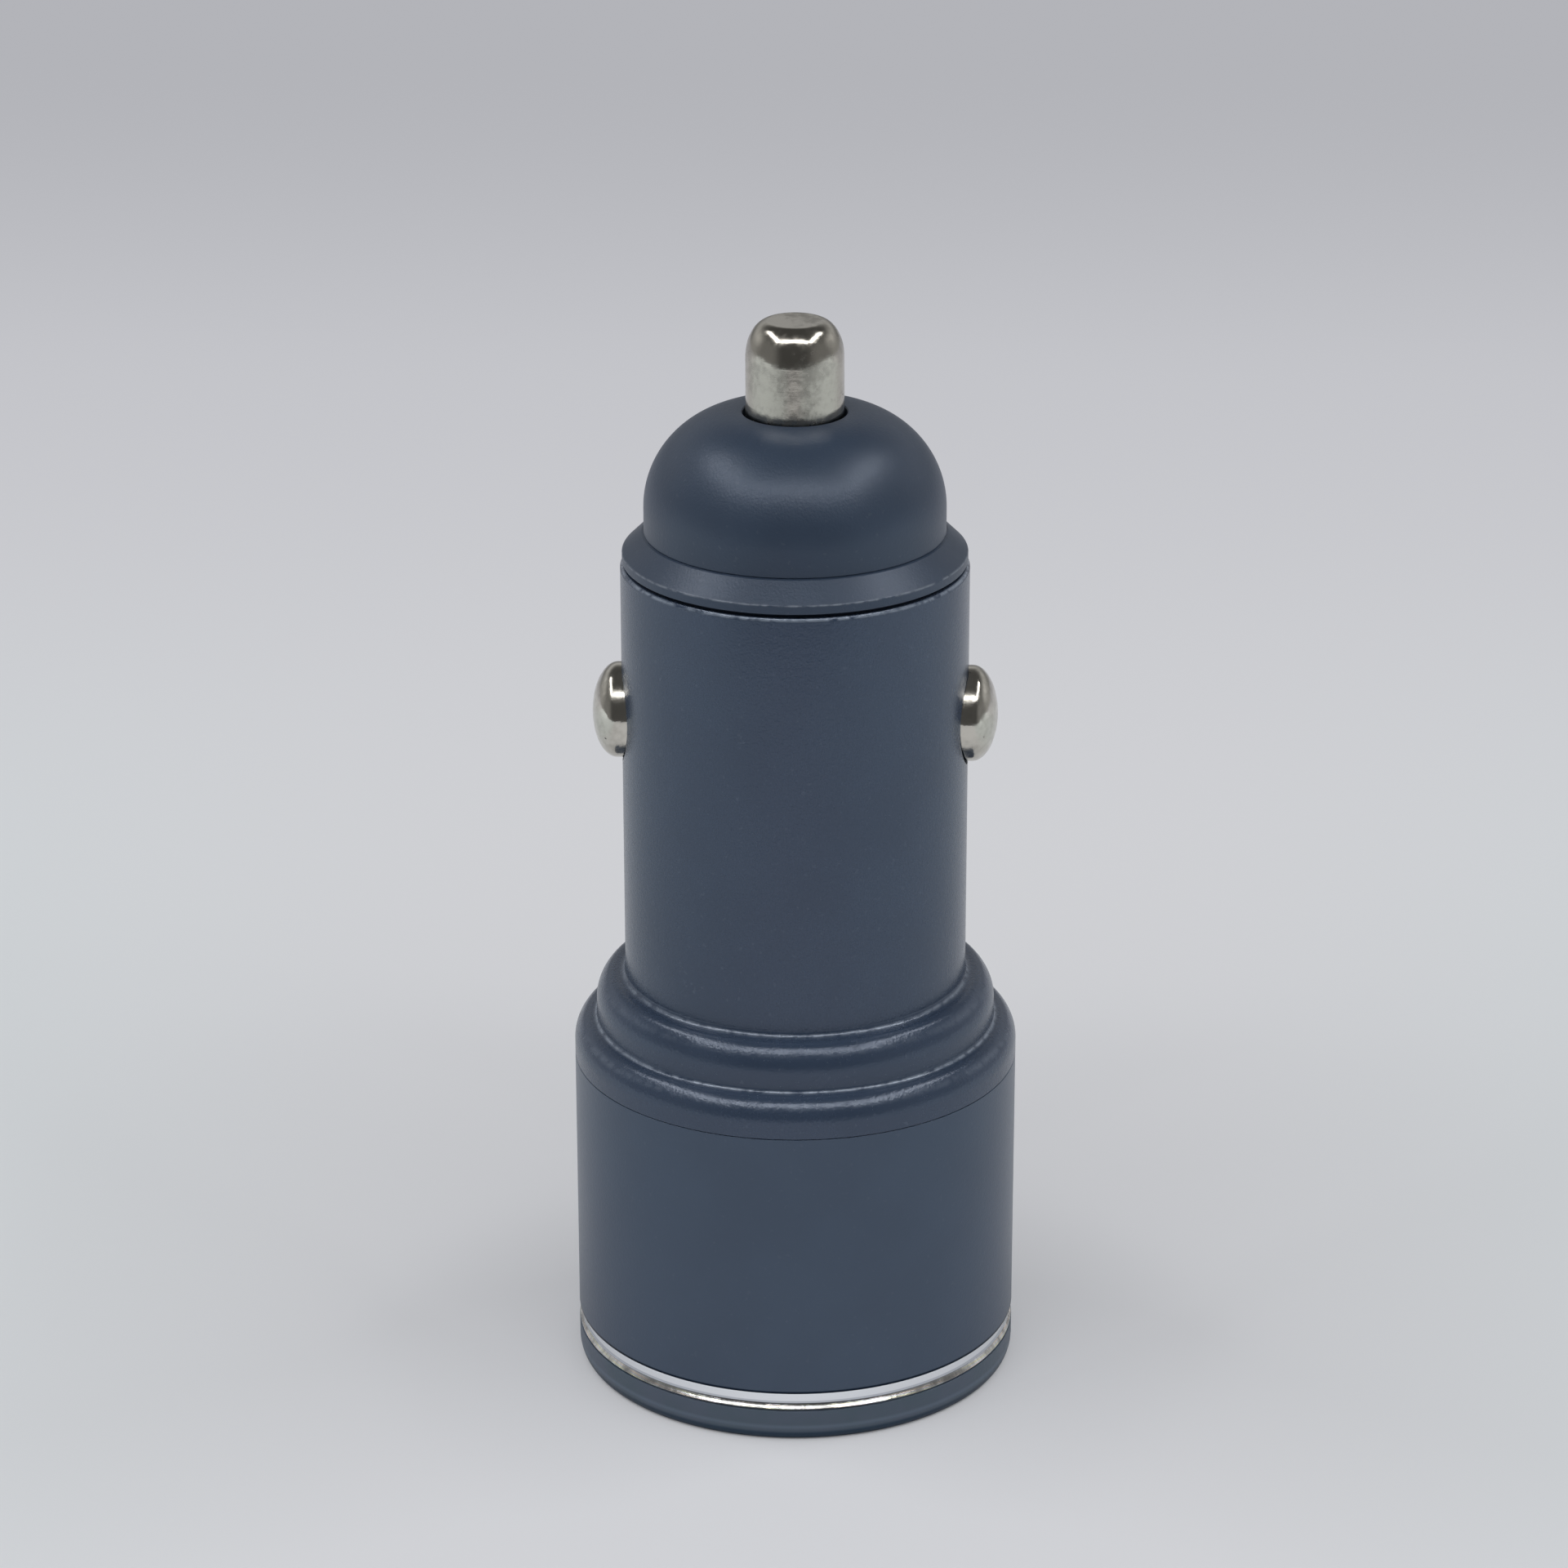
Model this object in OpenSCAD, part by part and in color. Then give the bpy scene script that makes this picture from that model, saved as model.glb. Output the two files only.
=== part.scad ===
// Car charger plug: a turned metal body that pushes into a vehicle's power socket,
// with a sprung tip, two sprung side contacts and two charging ports in its face.
// It stands on the face with the ports, tip up, and its axis is Z.

/* [Tube] */
// Outer diameter of the tube that goes into the socket
tube_d = 20.5; // [20:0.1:20.9]
// Wall of the tube
tube_wall = 1.1; // [1:0.05:1.2]
// Length of the tube from the upper step to its open end
tube_l = 25.95; // [25.5:0.05:32]
// Chamfer on the tube's open end
tube_edge = 0.2; // [0.1:0.05:0.3]

/* [Steps] */
// Upper step's share of the width between the tube and the head
step_share = 0.565; // [0.5:0.005:0.62]
// Height from the lower step's top to the upper step's top
step_h = 2.8; // [2.5:0.1:4]
// Rounding of the upper step, as a share of its width
upper_share = 0.81; // [0.6:0.01:0.9]
// Rounding of the lower step, as a share of its width
lower_share = 0.98; // [0.7:0.01:1]
// How much wider the upper step's rounding turns at its foot than at its crown
upper_lean = 0.46; // [0.3:0.01:0.5]
// How much wider the lower step's rounding turns at its foot than at its crown
lower_lean = 0.28; // [0.2:0.01:0.4]
// Fillet at the foot of the tube and of the upper step, as a share of the step's width
fillet_share = 0.23; // [0.12:0.01:0.35]

/* [Head] */
// Room between the ports' corners and the body's spigot, which sets the head's diameter
port_room = 1.55; // [1.4:0.05:2.2]
// Wall of the head's sleeve
head_wall = 1.3; // [1.1:0.05:1.4]
// Length of the head's sleeve
sleeve_l = 16.65; // [16:0.05:20]
// Height of the plain band above the sleeve's seam
skirt_h = 0.87; // [0.8:0.01:3]
// Width of the seam between the sleeve and the body
seam = 0.06; // [0.04:0.01:0.1]
// Depth of the spigot that the body pushes into the sleeve
spigot_l = 5.8; // [4:0.1:6]

/* [Trim ring] */
// Height of the bright ring
ring_h = 1.05; // [0.95:0.05:1.4]
// How far the ring's polished band lies behind the head's surface
ring_inset = 0.25; // [0.15:0.05:0.35]
// Radius of the cove between the ring's band and the cut at its lower edge
ring_cove = 0.4; // [0.3:0.05:0.5]

/* [Face] */
// Height of the dark rim that the charger stands on
rim_h = 2.1; // [2:0.05:3]
// Height of the rounding at the rim's lower edge
rim_round_h = 0.9; // [0.6:0.05:1.1]
// Width of the rounding at the rim's lower edge
rim_round_w = 0.5; // [0.3:0.05:0.7]
// How far the face lies inside the rim
face_inset = 0.45; // [0.3:0.05:0.7]
// Thickness of the face
face_t = 1.8; // [1.5:0.1:2.2]
// Height of the face's spigot inside the sleeve
collar_l = 4.8; // [3:0.1:6]
// Wall of the face's spigot
collar_wall = 0.95; // [0.8:0.05:1.1]

/* [Ports] */
// Width of a port's mouth
port_w = 12.5; // [12.4:0.1:12.8]
// Height of a port's mouth
port_h = 5.12; // [5.1:0.01:5.3]
// Sheet metal of a port's shell
port_t = 0.3; // [0.25:0.05:0.4]
// Length of a port's shell
port_l = 14; // [13:0.5:15]
// Thickness of a port's tongue
tongue_t = 1.84; // [1.7:0.02:1.9]
// Gap at each side of a port's tongue
tongue_side = 0.7; // [0.6:0.05:0.9]
// Distance from a shell's mouth to its tongue
tongue_inset = 2.2; // [2:0.1:2.8]

/* [Nose] */
// How far the nose's straight wall lies inside the tube's surface
nose_inset = 1.4; // [1.25:0.05:1.6]
// Height of the straight wall below the dome
nose_wall_h = 1.45; // [1:0.05:3]
// Wall of the nose around its flange and skirt
nose_wall = 1.25; // [1.1:0.05:1.4]
// How far the collar over the tube's end lies inside the tube's surface
collar_inset = 0.11; // [0.05:0.01:0.25]
// Height of the collar's straight band
band_h = 0.52; // [0.4:0.02:1]
// Height of the collar's bevel
bevel_h = 1.2; // [1:0.05:1.6]
// Shadow gap between the tube's end and the collar
nose_gap = 0.25; // [0.15:0.05:0.4]
// Length of the nose's skirt inside the tube
nose_skirt_l = 4.9; // [4:0.1:5]

/* [Tip contact] */
// Diameter of the tip contact
tip_d = 5.74; // [5.4:0.02:5.8]
// Diameter of the hole in the nose
tip_hole_d = 6.1; // [6.04:0.02:6.3]
// How far the tip stands out of the nose
tip_reach = 5.43; // [5:0.01:7]
// Width of the rounding at the tip's end
tip_round_w = 1.34; // [1:0.02:1.5]
// Height of the rounding at the tip's end
tip_round_h = 2.2; // [1.4:0.05:2.4]
// Height of the seat of the tip's spring above the bush's foot
seat_rise = 0.9; // [0.6:0.1:1.6]
// Diameter of the tip contact's flange
tip_flange_d = 8; // [7.6:0.1:8.4]

/* [Ground contacts] */
// Diameter of a ground contact
pin_d = 5.7; // [5.4:0.1:5.8]
// Diameter of the tube's hole for a ground contact
pin_hole_d = 6.1; // [6:0.05:6.3]
// Height of a ground contact's dome
pin_dome_h = 1.5; // [1.2:0.05:1.8]
// How far the straight part of a ground contact stands out of the tube
pin_stand = 0.25; // [0.15:0.05:0.4]
// Diameter of a ground contact's flange
pin_flange_d = 7; // [6.8:0.1:7.2]
// Distance from the tube's open end to the ground contacts
pin_drop = 9.35; // [9.3:0.05:9.8]
// Travel of a ground contact
pin_travel = 1.75; // [1:0.05:1.75]

/* [Board] */
// Thickness of the circuit board
board_t = 1.6; // [1.2:0.1:1.8]
// Distance from the face's outer side to the board
board_inset = 3.4; // [3:0.1:4]
// Size of the parts on the board, as a share of the largest that fits
part_fill = 1; // [0.8:0.01:1]

/* [Fits] */
// Radial clearance of a pressed or seated piece
fit = 0.05; // [0.03:0.01:0.06]
// Radial clearance of a sliding contact
run = 0.08; // [0.05:0.01:0.1]

/* [Hidden] */

$fn = 96;
arc_n = 16;
eps = 0.01;

// Radii
tube_r = tube_d / 2;
bore_r = tube_r - tube_wall;
port_gap = 0.15;
port_out_w = port_w + 2 * port_t;
port_out_h = port_h + 2 * port_t;
port_y = board_t / 2 + port_gap + port_out_h / 2;
port_reach = sqrt(pow(port_out_w / 2, 2) + pow(port_y + port_out_h / 2, 2));
spigot_wall = 1.1;
cavity_r = port_reach + port_room;
spigot_r = cavity_r + spigot_wall;
sleeve_in_r = spigot_r + fit;
head_r = sleeve_in_r + head_wall;
rim_w = 1.3;
upper_w = step_share * (head_r - tube_r);
step_r = tube_r + upper_w;
lower_w = head_r - step_r;
upper_round = upper_share * upper_w;
lower_round = lower_share * lower_w;
upper_fillet = fillet_share * upper_w;
lower_fillet = fillet_share * lower_w;
nose_r = tube_r - nose_inset;
collar_r = tube_r - collar_inset;
tip_r = tip_d / 2;
tip_hole_r = tip_hole_d / 2;
dome_round = nose_r - tip_hole_r;
skirt_r = bore_r - fit;
skirt_in_r = nose_r - nose_wall;
pin_r = pin_d / 2;
pin_flange_r = pin_flange_d / 2;
pocket_r = pin_flange_r + run;

// Heights from the floor, bottom to top
z_face_in = face_inset + face_t;
z_ring = rim_h;
z_sleeve = z_ring + ring_h;
z_seam = z_sleeve + sleeve_l;
z_body = z_seam + seam;
z_lower = z_body + skirt_h + step_rise(lower_round, lower_lean);
z_upper = z_lower + step_h;
z_tube = z_upper + tube_l;
z_collar = z_tube + nose_gap;
z_dome = z_collar + band_h + bevel_h;
z_nose = z_dome + nose_wall_h + dome_round;
z_tip = z_nose + tip_reach;
z_skirt = z_tube - nose_skirt_l;
z_pin = z_tube - pin_drop;

// Nose and tip
seat_inset = 0.4;
crease = 0.06;
roof_t = 1.95;
bush_share = 0.526;
bush_clear = 0.1;
bush_bore_r = tip_flange_d / 2 + run;
bush_r = bush_bore_r + bush_share * (skirt_in_r - bush_bore_r);
bush_hole_r = tip_r + bush_clear;
bush_lip = 1;
bush_flange_t = 1.5;
z_bush = z_nose - roof_t;
z_flange = z_bush - bush_lip;
tip_flange_t = 1.6;
tip_bore_r = 2.1;
tip_crown = 2.6;

// Contact carrier and what it holds
carrier_gap = 0.1;
carrier_floor = 0.8;
slot_depth = 1.6;
stop_gap = 0.3;
seat_r = 3.4;
seat_t = 0.6;
boss_shoulder = 0.4;
seat_boss_r = bush_bore_r - 0.2;
boss_r = bush_r + boss_shoulder;
z_carrier_top = z_skirt - carrier_gap;
z_bush_foot = z_dome - bush_flange_t;
z_seat = z_bush_foot + seat_rise;
z_board_top = z_pin - pocket_r - carrier_floor;
z_carrier = z_board_top - slot_depth;
lead_r = 0.5;
wall_half = 1.4;
strip_t = 0.4;
strip_w = 4;
strip_leg_l = 2.2;
z_strip = z_carrier - strip_leg_l;
z_lead = z_strip + 1;
pin_flange_t = 0.8;
pin_x = sqrt(pow(bore_r, 2) - pow(pin_flange_r, 2)) - fit;
pin_stop_x = pin_x - pin_flange_t - pin_travel - stop_gap;
spring_room = 0.3;
pin_base_x = tube_r + pin_stand;
pin_bore_r = 1.65;
pin_bore_x = pin_base_x - 0.2;

// Springs
tip_wire_r = 0.2;
tip_mean_r = 1.7;
tip_turns = 8;
pin_wire_r = 0.15;
pin_mean_r = 1.3;
pin_turns = 6;
strip_over = 0.6;
z_strip_top = z_pin + pin_mean_r + 2 * pin_wire_r + strip_over;
wire_sides = 6;
turn_steps = 14;

// Board and ports
board_clear = 0.5;
liner_t = 0.3;
liner_r = bore_r - fit;
liner_gap = 0.2;
tube_half_w = liner_r - liner_t - liner_gap;
head_half_w = cavity_r - board_clear;
z_board = face_inset + board_inset;
cavity_rise = 1;
board_step_gap = 1.7;
z_cavity = z_lower + cavity_rise;
z_wide = z_cavity - board_step_gap;
window_extra = 0.1;
port_stand = 0.1;
z_port = z_face_in + port_stand;
z_tongue = z_port + tongue_inset;
block_l = 3.4;
tongue_gap = 0.66;
tongue_w = port_w - 2 * tongue_side;
tongue_off = port_h / 2 - tongue_gap - tongue_t / 2;
pad_pitch = [-3.5, -1, 1, 3.5];
pad_w = 1;
pad_t = 0.2;
tab_w = 1.2;
tab_z = [4.6, 6.8];
lug_w = 2;
lug_h = 6;
lug_t = 4.4;
notch_w = 1.4;
solder_l = 1.6;

// Parts on the board, laid out on a grid that fills the tube's room: 8.8 steps of it
// reach the liner, and 17.07 reach from the ports to the strips
inner_r = liner_r - liner_t;
span = z_strip - z_port - port_l;
grid = part_fill * min(inner_r / 8.8, span / 17.07);
can_d = 6.3 * grid;
can_h = 5.4 * grid;
can_base = 6.6 * grid;
can_base_t = 0.9 * grid;
can_x = 3 * grid;
can_gap = 0.4 * grid;
z_can = z_strip - can_base / 2 - can_gap;
coil_d = 7.2 * grid;
coil_h = 4.4 * grid;
coil_gap = 1.6 * grid;
z_coil = z_port + port_l + coil_d / 2 + coil_gap;
coil_cheek = 0.8 * grid;
chip_x = 3.6 * grid;
chip_off = 0.1 * grid;
converter = [3.9, 4.9, 1.4] * grid;
port_chip_x = 6.4 * grid;
port_chip = [1.6, 2.9, 1.1] * grid;
diode = [4.3, 2.6, 2.1] * grid;
diode_strip = [5.3, 1.5, 1.2] * grid;
diode_rise = 1.2 * grid;
fuse = [3.2, 1.6, 0.8] * grid;
fuse_drop = 2.6 * grid;
chip_capacitor = [2, 1.25, 1.25] * grid;
capacitor_rise = 1.8 * grid;
capacitor_step = [3, 2.4] * grid;
chip_resistor = [0.8, 1.6, 0.45] * grid;
resistor_step = 1.6 * grid;
resistor_rise = 3.6 * grid;

// Arc points about (x, z) from angle a to angle b, on a circle or an ellipse
function arc(x, z, rx, rz, a, b, n = arc_n) =
    [for (i = [0:n]) let (t = a + (b - a) * i / n) [x + rx * cos(t), z + rz * sin(t)]];

// Rounded step whose top is at that height: a wide arc at its foot, a tighter one at its
// crown, and a concave fillet f that runs it into a wall of radius wall_r
function step_points(out_r, top, round, lean, wall_r, f) =
    let (
        foot = round * (1 + lean),
        crown = round * (1 - lean),
        shift = (foot - crown) * sin(45),
        x = out_r - foot + shift,
        z = top - crown,
        dx = max(0, wall_r + f - x),
        dz = sqrt(pow(crown + f, 2) - dx * dx),
        a = atan2(dz, dx)
    )
    concat(
        arc(out_r - foot, z - shift, foot, foot, 0, 45, 8),
        arc(x, z, crown, crown, 45, a, 8),
        arc(wall_r + f, z + dz, f, f, a + 180, 180, 6)
    );

// Height of such a rounding from its foot to its top
function step_rise(round, lean) = round * (1 - lean + 2 * lean * sin(45));

module revolve(points) {
    rotate_extrude() polygon(points);
}

// Box centred on X and Y, standing on z
module block(size, x = 0, y = 0, z = 0) {
    translate([x - size[0] / 2, y - size[1] / 2, z]) cube(size);
}

// Gives the second port and its parts: the first ones turned half round
module at_side(back) {
    rotate(back ? 180 : 0) children();
}

// Puts a part on the board's front or back, with its own Z pointing away from the board
module on_board(x, z, back = false) {
    at_side(back) translate([x, board_t / 2, z]) rotate([-90, 0, 0]) children();
}

// Coil spring along Z from 0 to h, with one closed turn at each end
module coil_spring(mean_r, wire_r, h, turns) {
    pitch = 2.1 * wire_r;
    steps = turns * turn_steps;
    free = h - 2 * wire_r - 2 * pitch;
    rise = function (t)
        t < 1 ? wire_r + pitch * t :
        t > turns - 1 ? h - wire_r - pitch * (turns - t) :
        wire_r + pitch + free * (t - 1) / (turns - 2);
    points = [
        for (i = [0:steps], k = [0:wire_sides - 1])
            let (t = i / turn_steps, a = 360 * t, b = 360 * k / wire_sides)
            [
                (mean_r + wire_r * cos(b)) * cos(a),
                (mean_r + wire_r * cos(b)) * sin(a),
                rise(t) + wire_r * sin(b)
            ]
    ];
    sides = [
        for (i = [0:steps - 1], k = [0:wire_sides - 1])
            let (p = i * wire_sides, q = p + wire_sides, m = (k + 1) % wire_sides)
            [p + k, q + k, q + m, p + m]
    ];
    first = [for (k = [0:wire_sides - 1]) k];
    last = [for (k = [wire_sides - 1:-1:0]) steps * wire_sides + k];
    polyhedron(points, concat(sides, [first, last]), convexity = 10);
}

// One piece of turned metal: tube, two rounded steps and the spigot inside the sleeve
module barrel_shell() {
    lower = step_points(head_r, z_lower, lower_round, lower_lean, step_r, lower_fillet);
    upper = step_points(step_r, z_upper, upper_round, upper_lean, tube_r, upper_fillet);
    color("#404c5a")
    difference() {
        revolve(concat(
            [
                [cavity_r, z_seam - spigot_l], [spigot_r, z_seam - spigot_l], [spigot_r, z_body],
                [head_r - eps, z_body], [head_r, z_body + eps]
            ],
            lower,
            upper,
            [
                [tube_r, z_tube - tube_edge], [tube_r - tube_edge, z_tube], [bore_r, z_tube],
                [bore_r, z_cavity], [cavity_r, z_cavity]
            ]
        ));
        for (s = [-1, 1])
            translate([s * (bore_r + tube_wall / 2), 0, z_pin])
                rotate([0, 90, 0])
                    cylinder(h = 4 * tube_wall, d = pin_hole_d, center = true);
    }
}

module head_sleeve() {
    edge = 0.2;
    color("#3a4553")
    revolve([
        [sleeve_in_r, z_sleeve], [head_r - edge, z_sleeve], [head_r, z_sleeve + edge],
        [head_r, z_seam - eps], [head_r - eps, z_seam], [sleeve_in_r, z_seam]
    ]);
}

// Bright ring: a recessed polished band, a cove and a slanted cut that meets the rim
module trim_ring() {
    cut_a = 42;
    band_r = head_r - ring_inset;
    cut_w = ring_inset - ring_cove * (1 - cos(cut_a));
    z_cut = z_ring + cut_w / tan(cut_a);
    z_cove = z_cut + ring_cove * sin(cut_a);
    color("#d8dade")
    revolve(concat(
        [[sleeve_in_r, z_sleeve], [sleeve_in_r, z_ring], [head_r, z_ring]],
        arc(band_r + ring_cove, z_cove, ring_cove, ring_cove, 180 + cut_a, 180, 8),
        [[band_r, z_sleeve]]
    ));
}

// Rim, face with two windows, spigot in the sleeve, and two lugs that grip the board
module face_bezel() {
    foot_r = head_r - rim_round_w;
    top = z_ring + collar_l;
    lug_x = spigot_r - collar_wall - lug_w / 2 + 0.2;
    line = 0.1;
    color("#34363f")
    difference() {
        union() {
            revolve(concat(
                [
                    [0, face_inset], [foot_r - rim_w, face_inset], [foot_r - rim_w + face_inset / 2, 0],
                    [foot_r, 0]
                ],
                arc(foot_r, rim_round_h, rim_round_w, rim_round_h, -90, 0, 8),
                [
                    [head_r, z_ring - line], [head_r - line, z_ring - line], [head_r - line, z_ring],
                    [spigot_r, z_ring], [spigot_r, top],
                    [spigot_r - collar_wall, top], [spigot_r - collar_wall, z_face_in], [0, z_face_in]
                ]
            ));
            for (s = [-1, 1])
                block([lug_w, lug_t, lug_h], s * lug_x, 0, z_face_in - eps);
        }
        for (back = [false, true])
            at_side(back)
                block(
                    [port_w + window_extra, port_h + window_extra, 4 * face_t],
                    0, port_y, face_inset - face_t
                );
        block([2 * head_half_w + 2 * fit, board_t + 2 * fit, lug_h + face_t], 0, 0, z_board - fit);
    }
}

// Dome, collar and skirt, turned from one piece
module nose_cap() {
    bevel_foot = z_collar + band_h;
    seat = tube_r - tube_edge - seat_inset;
    hole_edge = 0.06;
    bush_bore = bush_r + fit;
    color("#414d5b")
    revolve(concat(
        [
            [skirt_in_r, z_skirt], [skirt_r, z_skirt], [skirt_r, z_tube], [seat, z_tube],
            [seat, z_collar], [collar_r, z_collar], [collar_r, bevel_foot - crease],
            [collar_r - crease, bevel_foot],
            [nose_r + 2 * crease, z_dome - crease], [nose_r - crease, z_dome], [nose_r, z_dome + crease]
        ],
        arc(tip_hole_r, z_nose - dome_round, dome_round, dome_round, 0, 89, 24),
        [
            [tip_hole_r, z_nose - hole_edge], [tip_hole_r, z_bush], [bush_bore, z_bush],
            [bush_bore, z_dome], [skirt_in_r, z_dome]
        ]
    ));
}

// Sprung centre contact: rounded pin with a flange behind the bush's lip, hollow for its spring
module tip_contact() {
    foot = z_flange - tip_flange_t;
    color("#b9b7af")
    revolve(concat(
        [
            [tip_bore_r, foot], [tip_flange_d / 2, foot], [tip_flange_d / 2, z_flange],
            [tip_r, z_flange]
        ],
        arc(tip_r - tip_round_w, z_tip - tip_round_h, tip_round_w, tip_round_h, 0, 90),
        [[0, z_tip], [0, z_tip - tip_crown], [tip_bore_r, z_tip - tip_crown]]
    ));
}

// Moulded bush that insulates the tip contact from the nose and guides its flange
module tip_bush() {
    flange_r = skirt_in_r - fit;
    color("#e8e6df")
    revolve([
        [bush_bore_r, z_bush_foot], [flange_r, z_bush_foot], [flange_r, z_dome], [bush_r, z_dome],
        [bush_r, z_bush], [bush_hole_r, z_bush], [bush_hole_r, z_flange], [bush_bore_r, z_flange]
    ]);
}

module tip_spring() {
    color("#c9ccd0")
    translate([0, 0, z_seat]) coil_spring(tip_mean_r, tip_wire_r, z_tip - tip_crown - z_seat, tip_turns);
}

// Brass plate under the tip's spring, with a lead down to the board
module tip_spring_seat() {
    color("#c8a553")
    union() {
        translate([0, 0, z_seat - seat_t]) cylinder(h = seat_t, r = seat_r);
        translate([0, 0, z_lead]) cylinder(h = z_seat - z_lead - seat_t / 2, r = lead_r, $fn = 32);
    }
}

// Sprung side contact along X, hollow for its spring
module ground_contact() {
    points = concat(
        [
            [pin_bore_r, pin_x - pin_flange_t], [pin_flange_r, pin_x - pin_flange_t],
            [pin_flange_r, pin_x], [pin_r, pin_x]
        ],
        arc(0, pin_base_x, pin_r, pin_dome_h, 0, 90),
        [[0, pin_bore_x], [pin_bore_r, pin_bore_x]]
    );
    color("#bdbbb3")
    translate([0, 0, z_pin]) rotate([0, 90, 0]) revolve(points);
}

module ground_contact_right() { ground_contact(); }
module ground_contact_left() { rotate(180) ground_contact(); }

module ground_spring() {
    start = wall_half + fit + strip_t;
    color("#c9ccd0")
    translate([start, 0, z_pin])
        rotate([0, 90, 0])
            coil_spring(pin_mean_r, pin_wire_r, pin_bore_x - start, pin_turns);
}

module ground_spring_right() { ground_spring(); }
module ground_spring_left() { rotate(180) ground_spring(); }

// Flat strip behind a side contact's spring, forked over the board's edge
module ground_strip() {
    x = wall_half + fit + strip_t / 2;
    color("#c4c6c2")
    difference() {
        block([strip_t, strip_w, z_strip_top - z_strip], x, 0, z_strip);
        block([2 * strip_t, board_t + 2 * fit, z_board_top + fit - z_strip + 1], x, 0, z_strip - 1);
    }
}

module ground_strip_right() { ground_strip(); }
module ground_strip_left() { rotate(180) ground_strip(); }

// Moulded carrier in the tube: pockets for the side contacts, slots for strips, lead and board
module contact_carrier() {
    carrier_r = bore_r - fit;
    spring_x = wall_half + 2 * fit + strip_t;
    spring_hole_r = pin_mean_r + pin_wire_r + spring_room;
    color("#26282d")
    difference() {
        union() {
            translate([0, 0, z_carrier]) cylinder(h = z_carrier_top - z_carrier, r = carrier_r);
            translate([0, 0, z_carrier_top - eps]) cylinder(h = z_bush_foot - z_carrier_top, r = boss_r);
            translate([0, 0, z_bush_foot - 1]) cylinder(h = z_seat - z_bush_foot + 1, r = seat_boss_r);
        }
        translate([0, 0, z_seat - seat_t]) cylinder(h = 2 * seat_t, r = seat_r + fit);
        translate([0, 0, z_carrier - 1]) cylinder(h = z_seat - z_carrier + 1, r = lead_r + fit, $fn = 32);
        for (s = [-1, 1]) {
            translate([s * pin_stop_x, 0, z_pin])
                rotate([0, s * 90, 0])
                    cylinder(h = carrier_r, r = pocket_r);
            translate([s * spring_x, 0, z_pin])
                rotate([0, s * 90, 0])
                    cylinder(h = carrier_r, r = spring_hole_r);
            block(
                [strip_t + 2 * fit, strip_w + 2 * fit, z_strip_top + fit - z_carrier + 1],
                s * (wall_half + fit + strip_t / 2), 0, z_carrier - 1
            );
        }
        block(
            [2 * (tube_half_w + fit), board_t + 2 * fit, z_board_top + fit - z_carrier + 1],
            0, 0, z_carrier - 1
        );
    }
}

// Thin film tube between the board's parts and the metal body
module insulating_liner() {
    color("#e9dfb0")
    revolve([
        [liner_r - liner_t, z_cavity + 0.2], [liner_r, z_cavity + 0.2],
        [liner_r, z_carrier], [liner_r - liner_t, z_carrier]
    ]);
}

// Board on edge along the axis: wide in the head and narrow in the tube
module circuit_board() {
    hole_d = 1.5;
    outline = [
        [-head_half_w, z_board], [head_half_w, z_board], [head_half_w, z_wide],
        [tube_half_w, z_wide], [tube_half_w, z_board_top], [notch_w / 2, z_board_top],
        [notch_w / 2, z_strip], [-notch_w / 2, z_strip], [-notch_w / 2, z_board_top],
        [-tube_half_w, z_board_top], [-tube_half_w, z_wide], [-head_half_w, z_wide]
    ];
    color("#1f6b45")
    rotate([90, 0, 0])
        translate([0, 0, -board_t / 2])
            linear_extrude(board_t)
                difference() {
                    polygon(outline);
                    for (s = [-1, 1], z = tab_z)
                        translate([s * (port_out_w - port_t) / 2, z_port + z]) circle(d = hole_d, $fn = 24);
                }
}

// Solder that joins the tip's lead to the board's notch
module tip_solder() {
    color("#c7c9cc")
    difference() {
        block([notch_w, board_t, solder_l], 0, 0, z_lead + 0.4);
        translate([0, 0, z_lead]) cylinder(h = 2 * solder_l, r = lead_r, $fn = 32);
    }
}

// Sheet metal shell of a port, open at its mouth, with tabs into the board
module usb_shell(back) {
    color("#c3c5c9")
    at_side(back)
        union() {
            difference() {
                block([port_out_w, port_out_h, port_l], 0, port_y, z_port);
                block([port_w, port_h, port_l + 2], 0, port_y, z_port - 1);
            }
            for (s = [-1, 1])
                translate([
                    s * (port_out_w - port_t) / 2 - port_t / 2,
                    -board_t / 2,
                    z_port + tab_z[back ? 1 : 0] - tab_w / 2
                ])
                    cube([port_t, board_t + port_gap + port_t, tab_w]);
        }
}

module usb_shell_front() { usb_shell(false); }
module usb_shell_back() { usb_shell(true); }

// Moulded block at the back of a port, with the tongue that carries its contacts
module usb_tongue(back) {
    color("#ecebe6")
    at_side(back)
        difference() {
            union() {
                block([port_w - 0.1, port_h - 0.1, block_l], 0, port_y, z_port + port_l - block_l);
                block([tongue_w, tongue_t, port_l - tongue_inset], 0, port_y + tongue_off, z_tongue);
            }
            for (x = pad_pitch)
                block(
                    [pad_w, pad_t, port_l], x,
                    port_y + tongue_off - (tongue_t + pad_t) / 2, z_tongue + 0.4
                );
        }
}

module usb_tongue_front() { usb_tongue(false); }
module usb_tongue_back() { usb_tongue(true); }

// Four spring strips under a tongue, bent down to the board behind the port
module usb_pins(back) {
    y = port_y + tongue_off - tongue_t / 2;
    end = z_port + port_l + 0.5;
    color("#d0a94a")
    at_side(back)
        for (x = pad_pitch)
            union() {
                block([pad_w, pad_t, end - z_tongue - 0.4], x, y - pad_t / 2, z_tongue + 0.4);
                translate([x - pad_w / 4, board_t / 2, end - pad_t])
                    cube([pad_w / 2, y - board_t / 2, pad_t]);
            }
}

module usb_pins_front() { usb_pins(false); }
module usb_pins_back() { usb_pins(true); }

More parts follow.
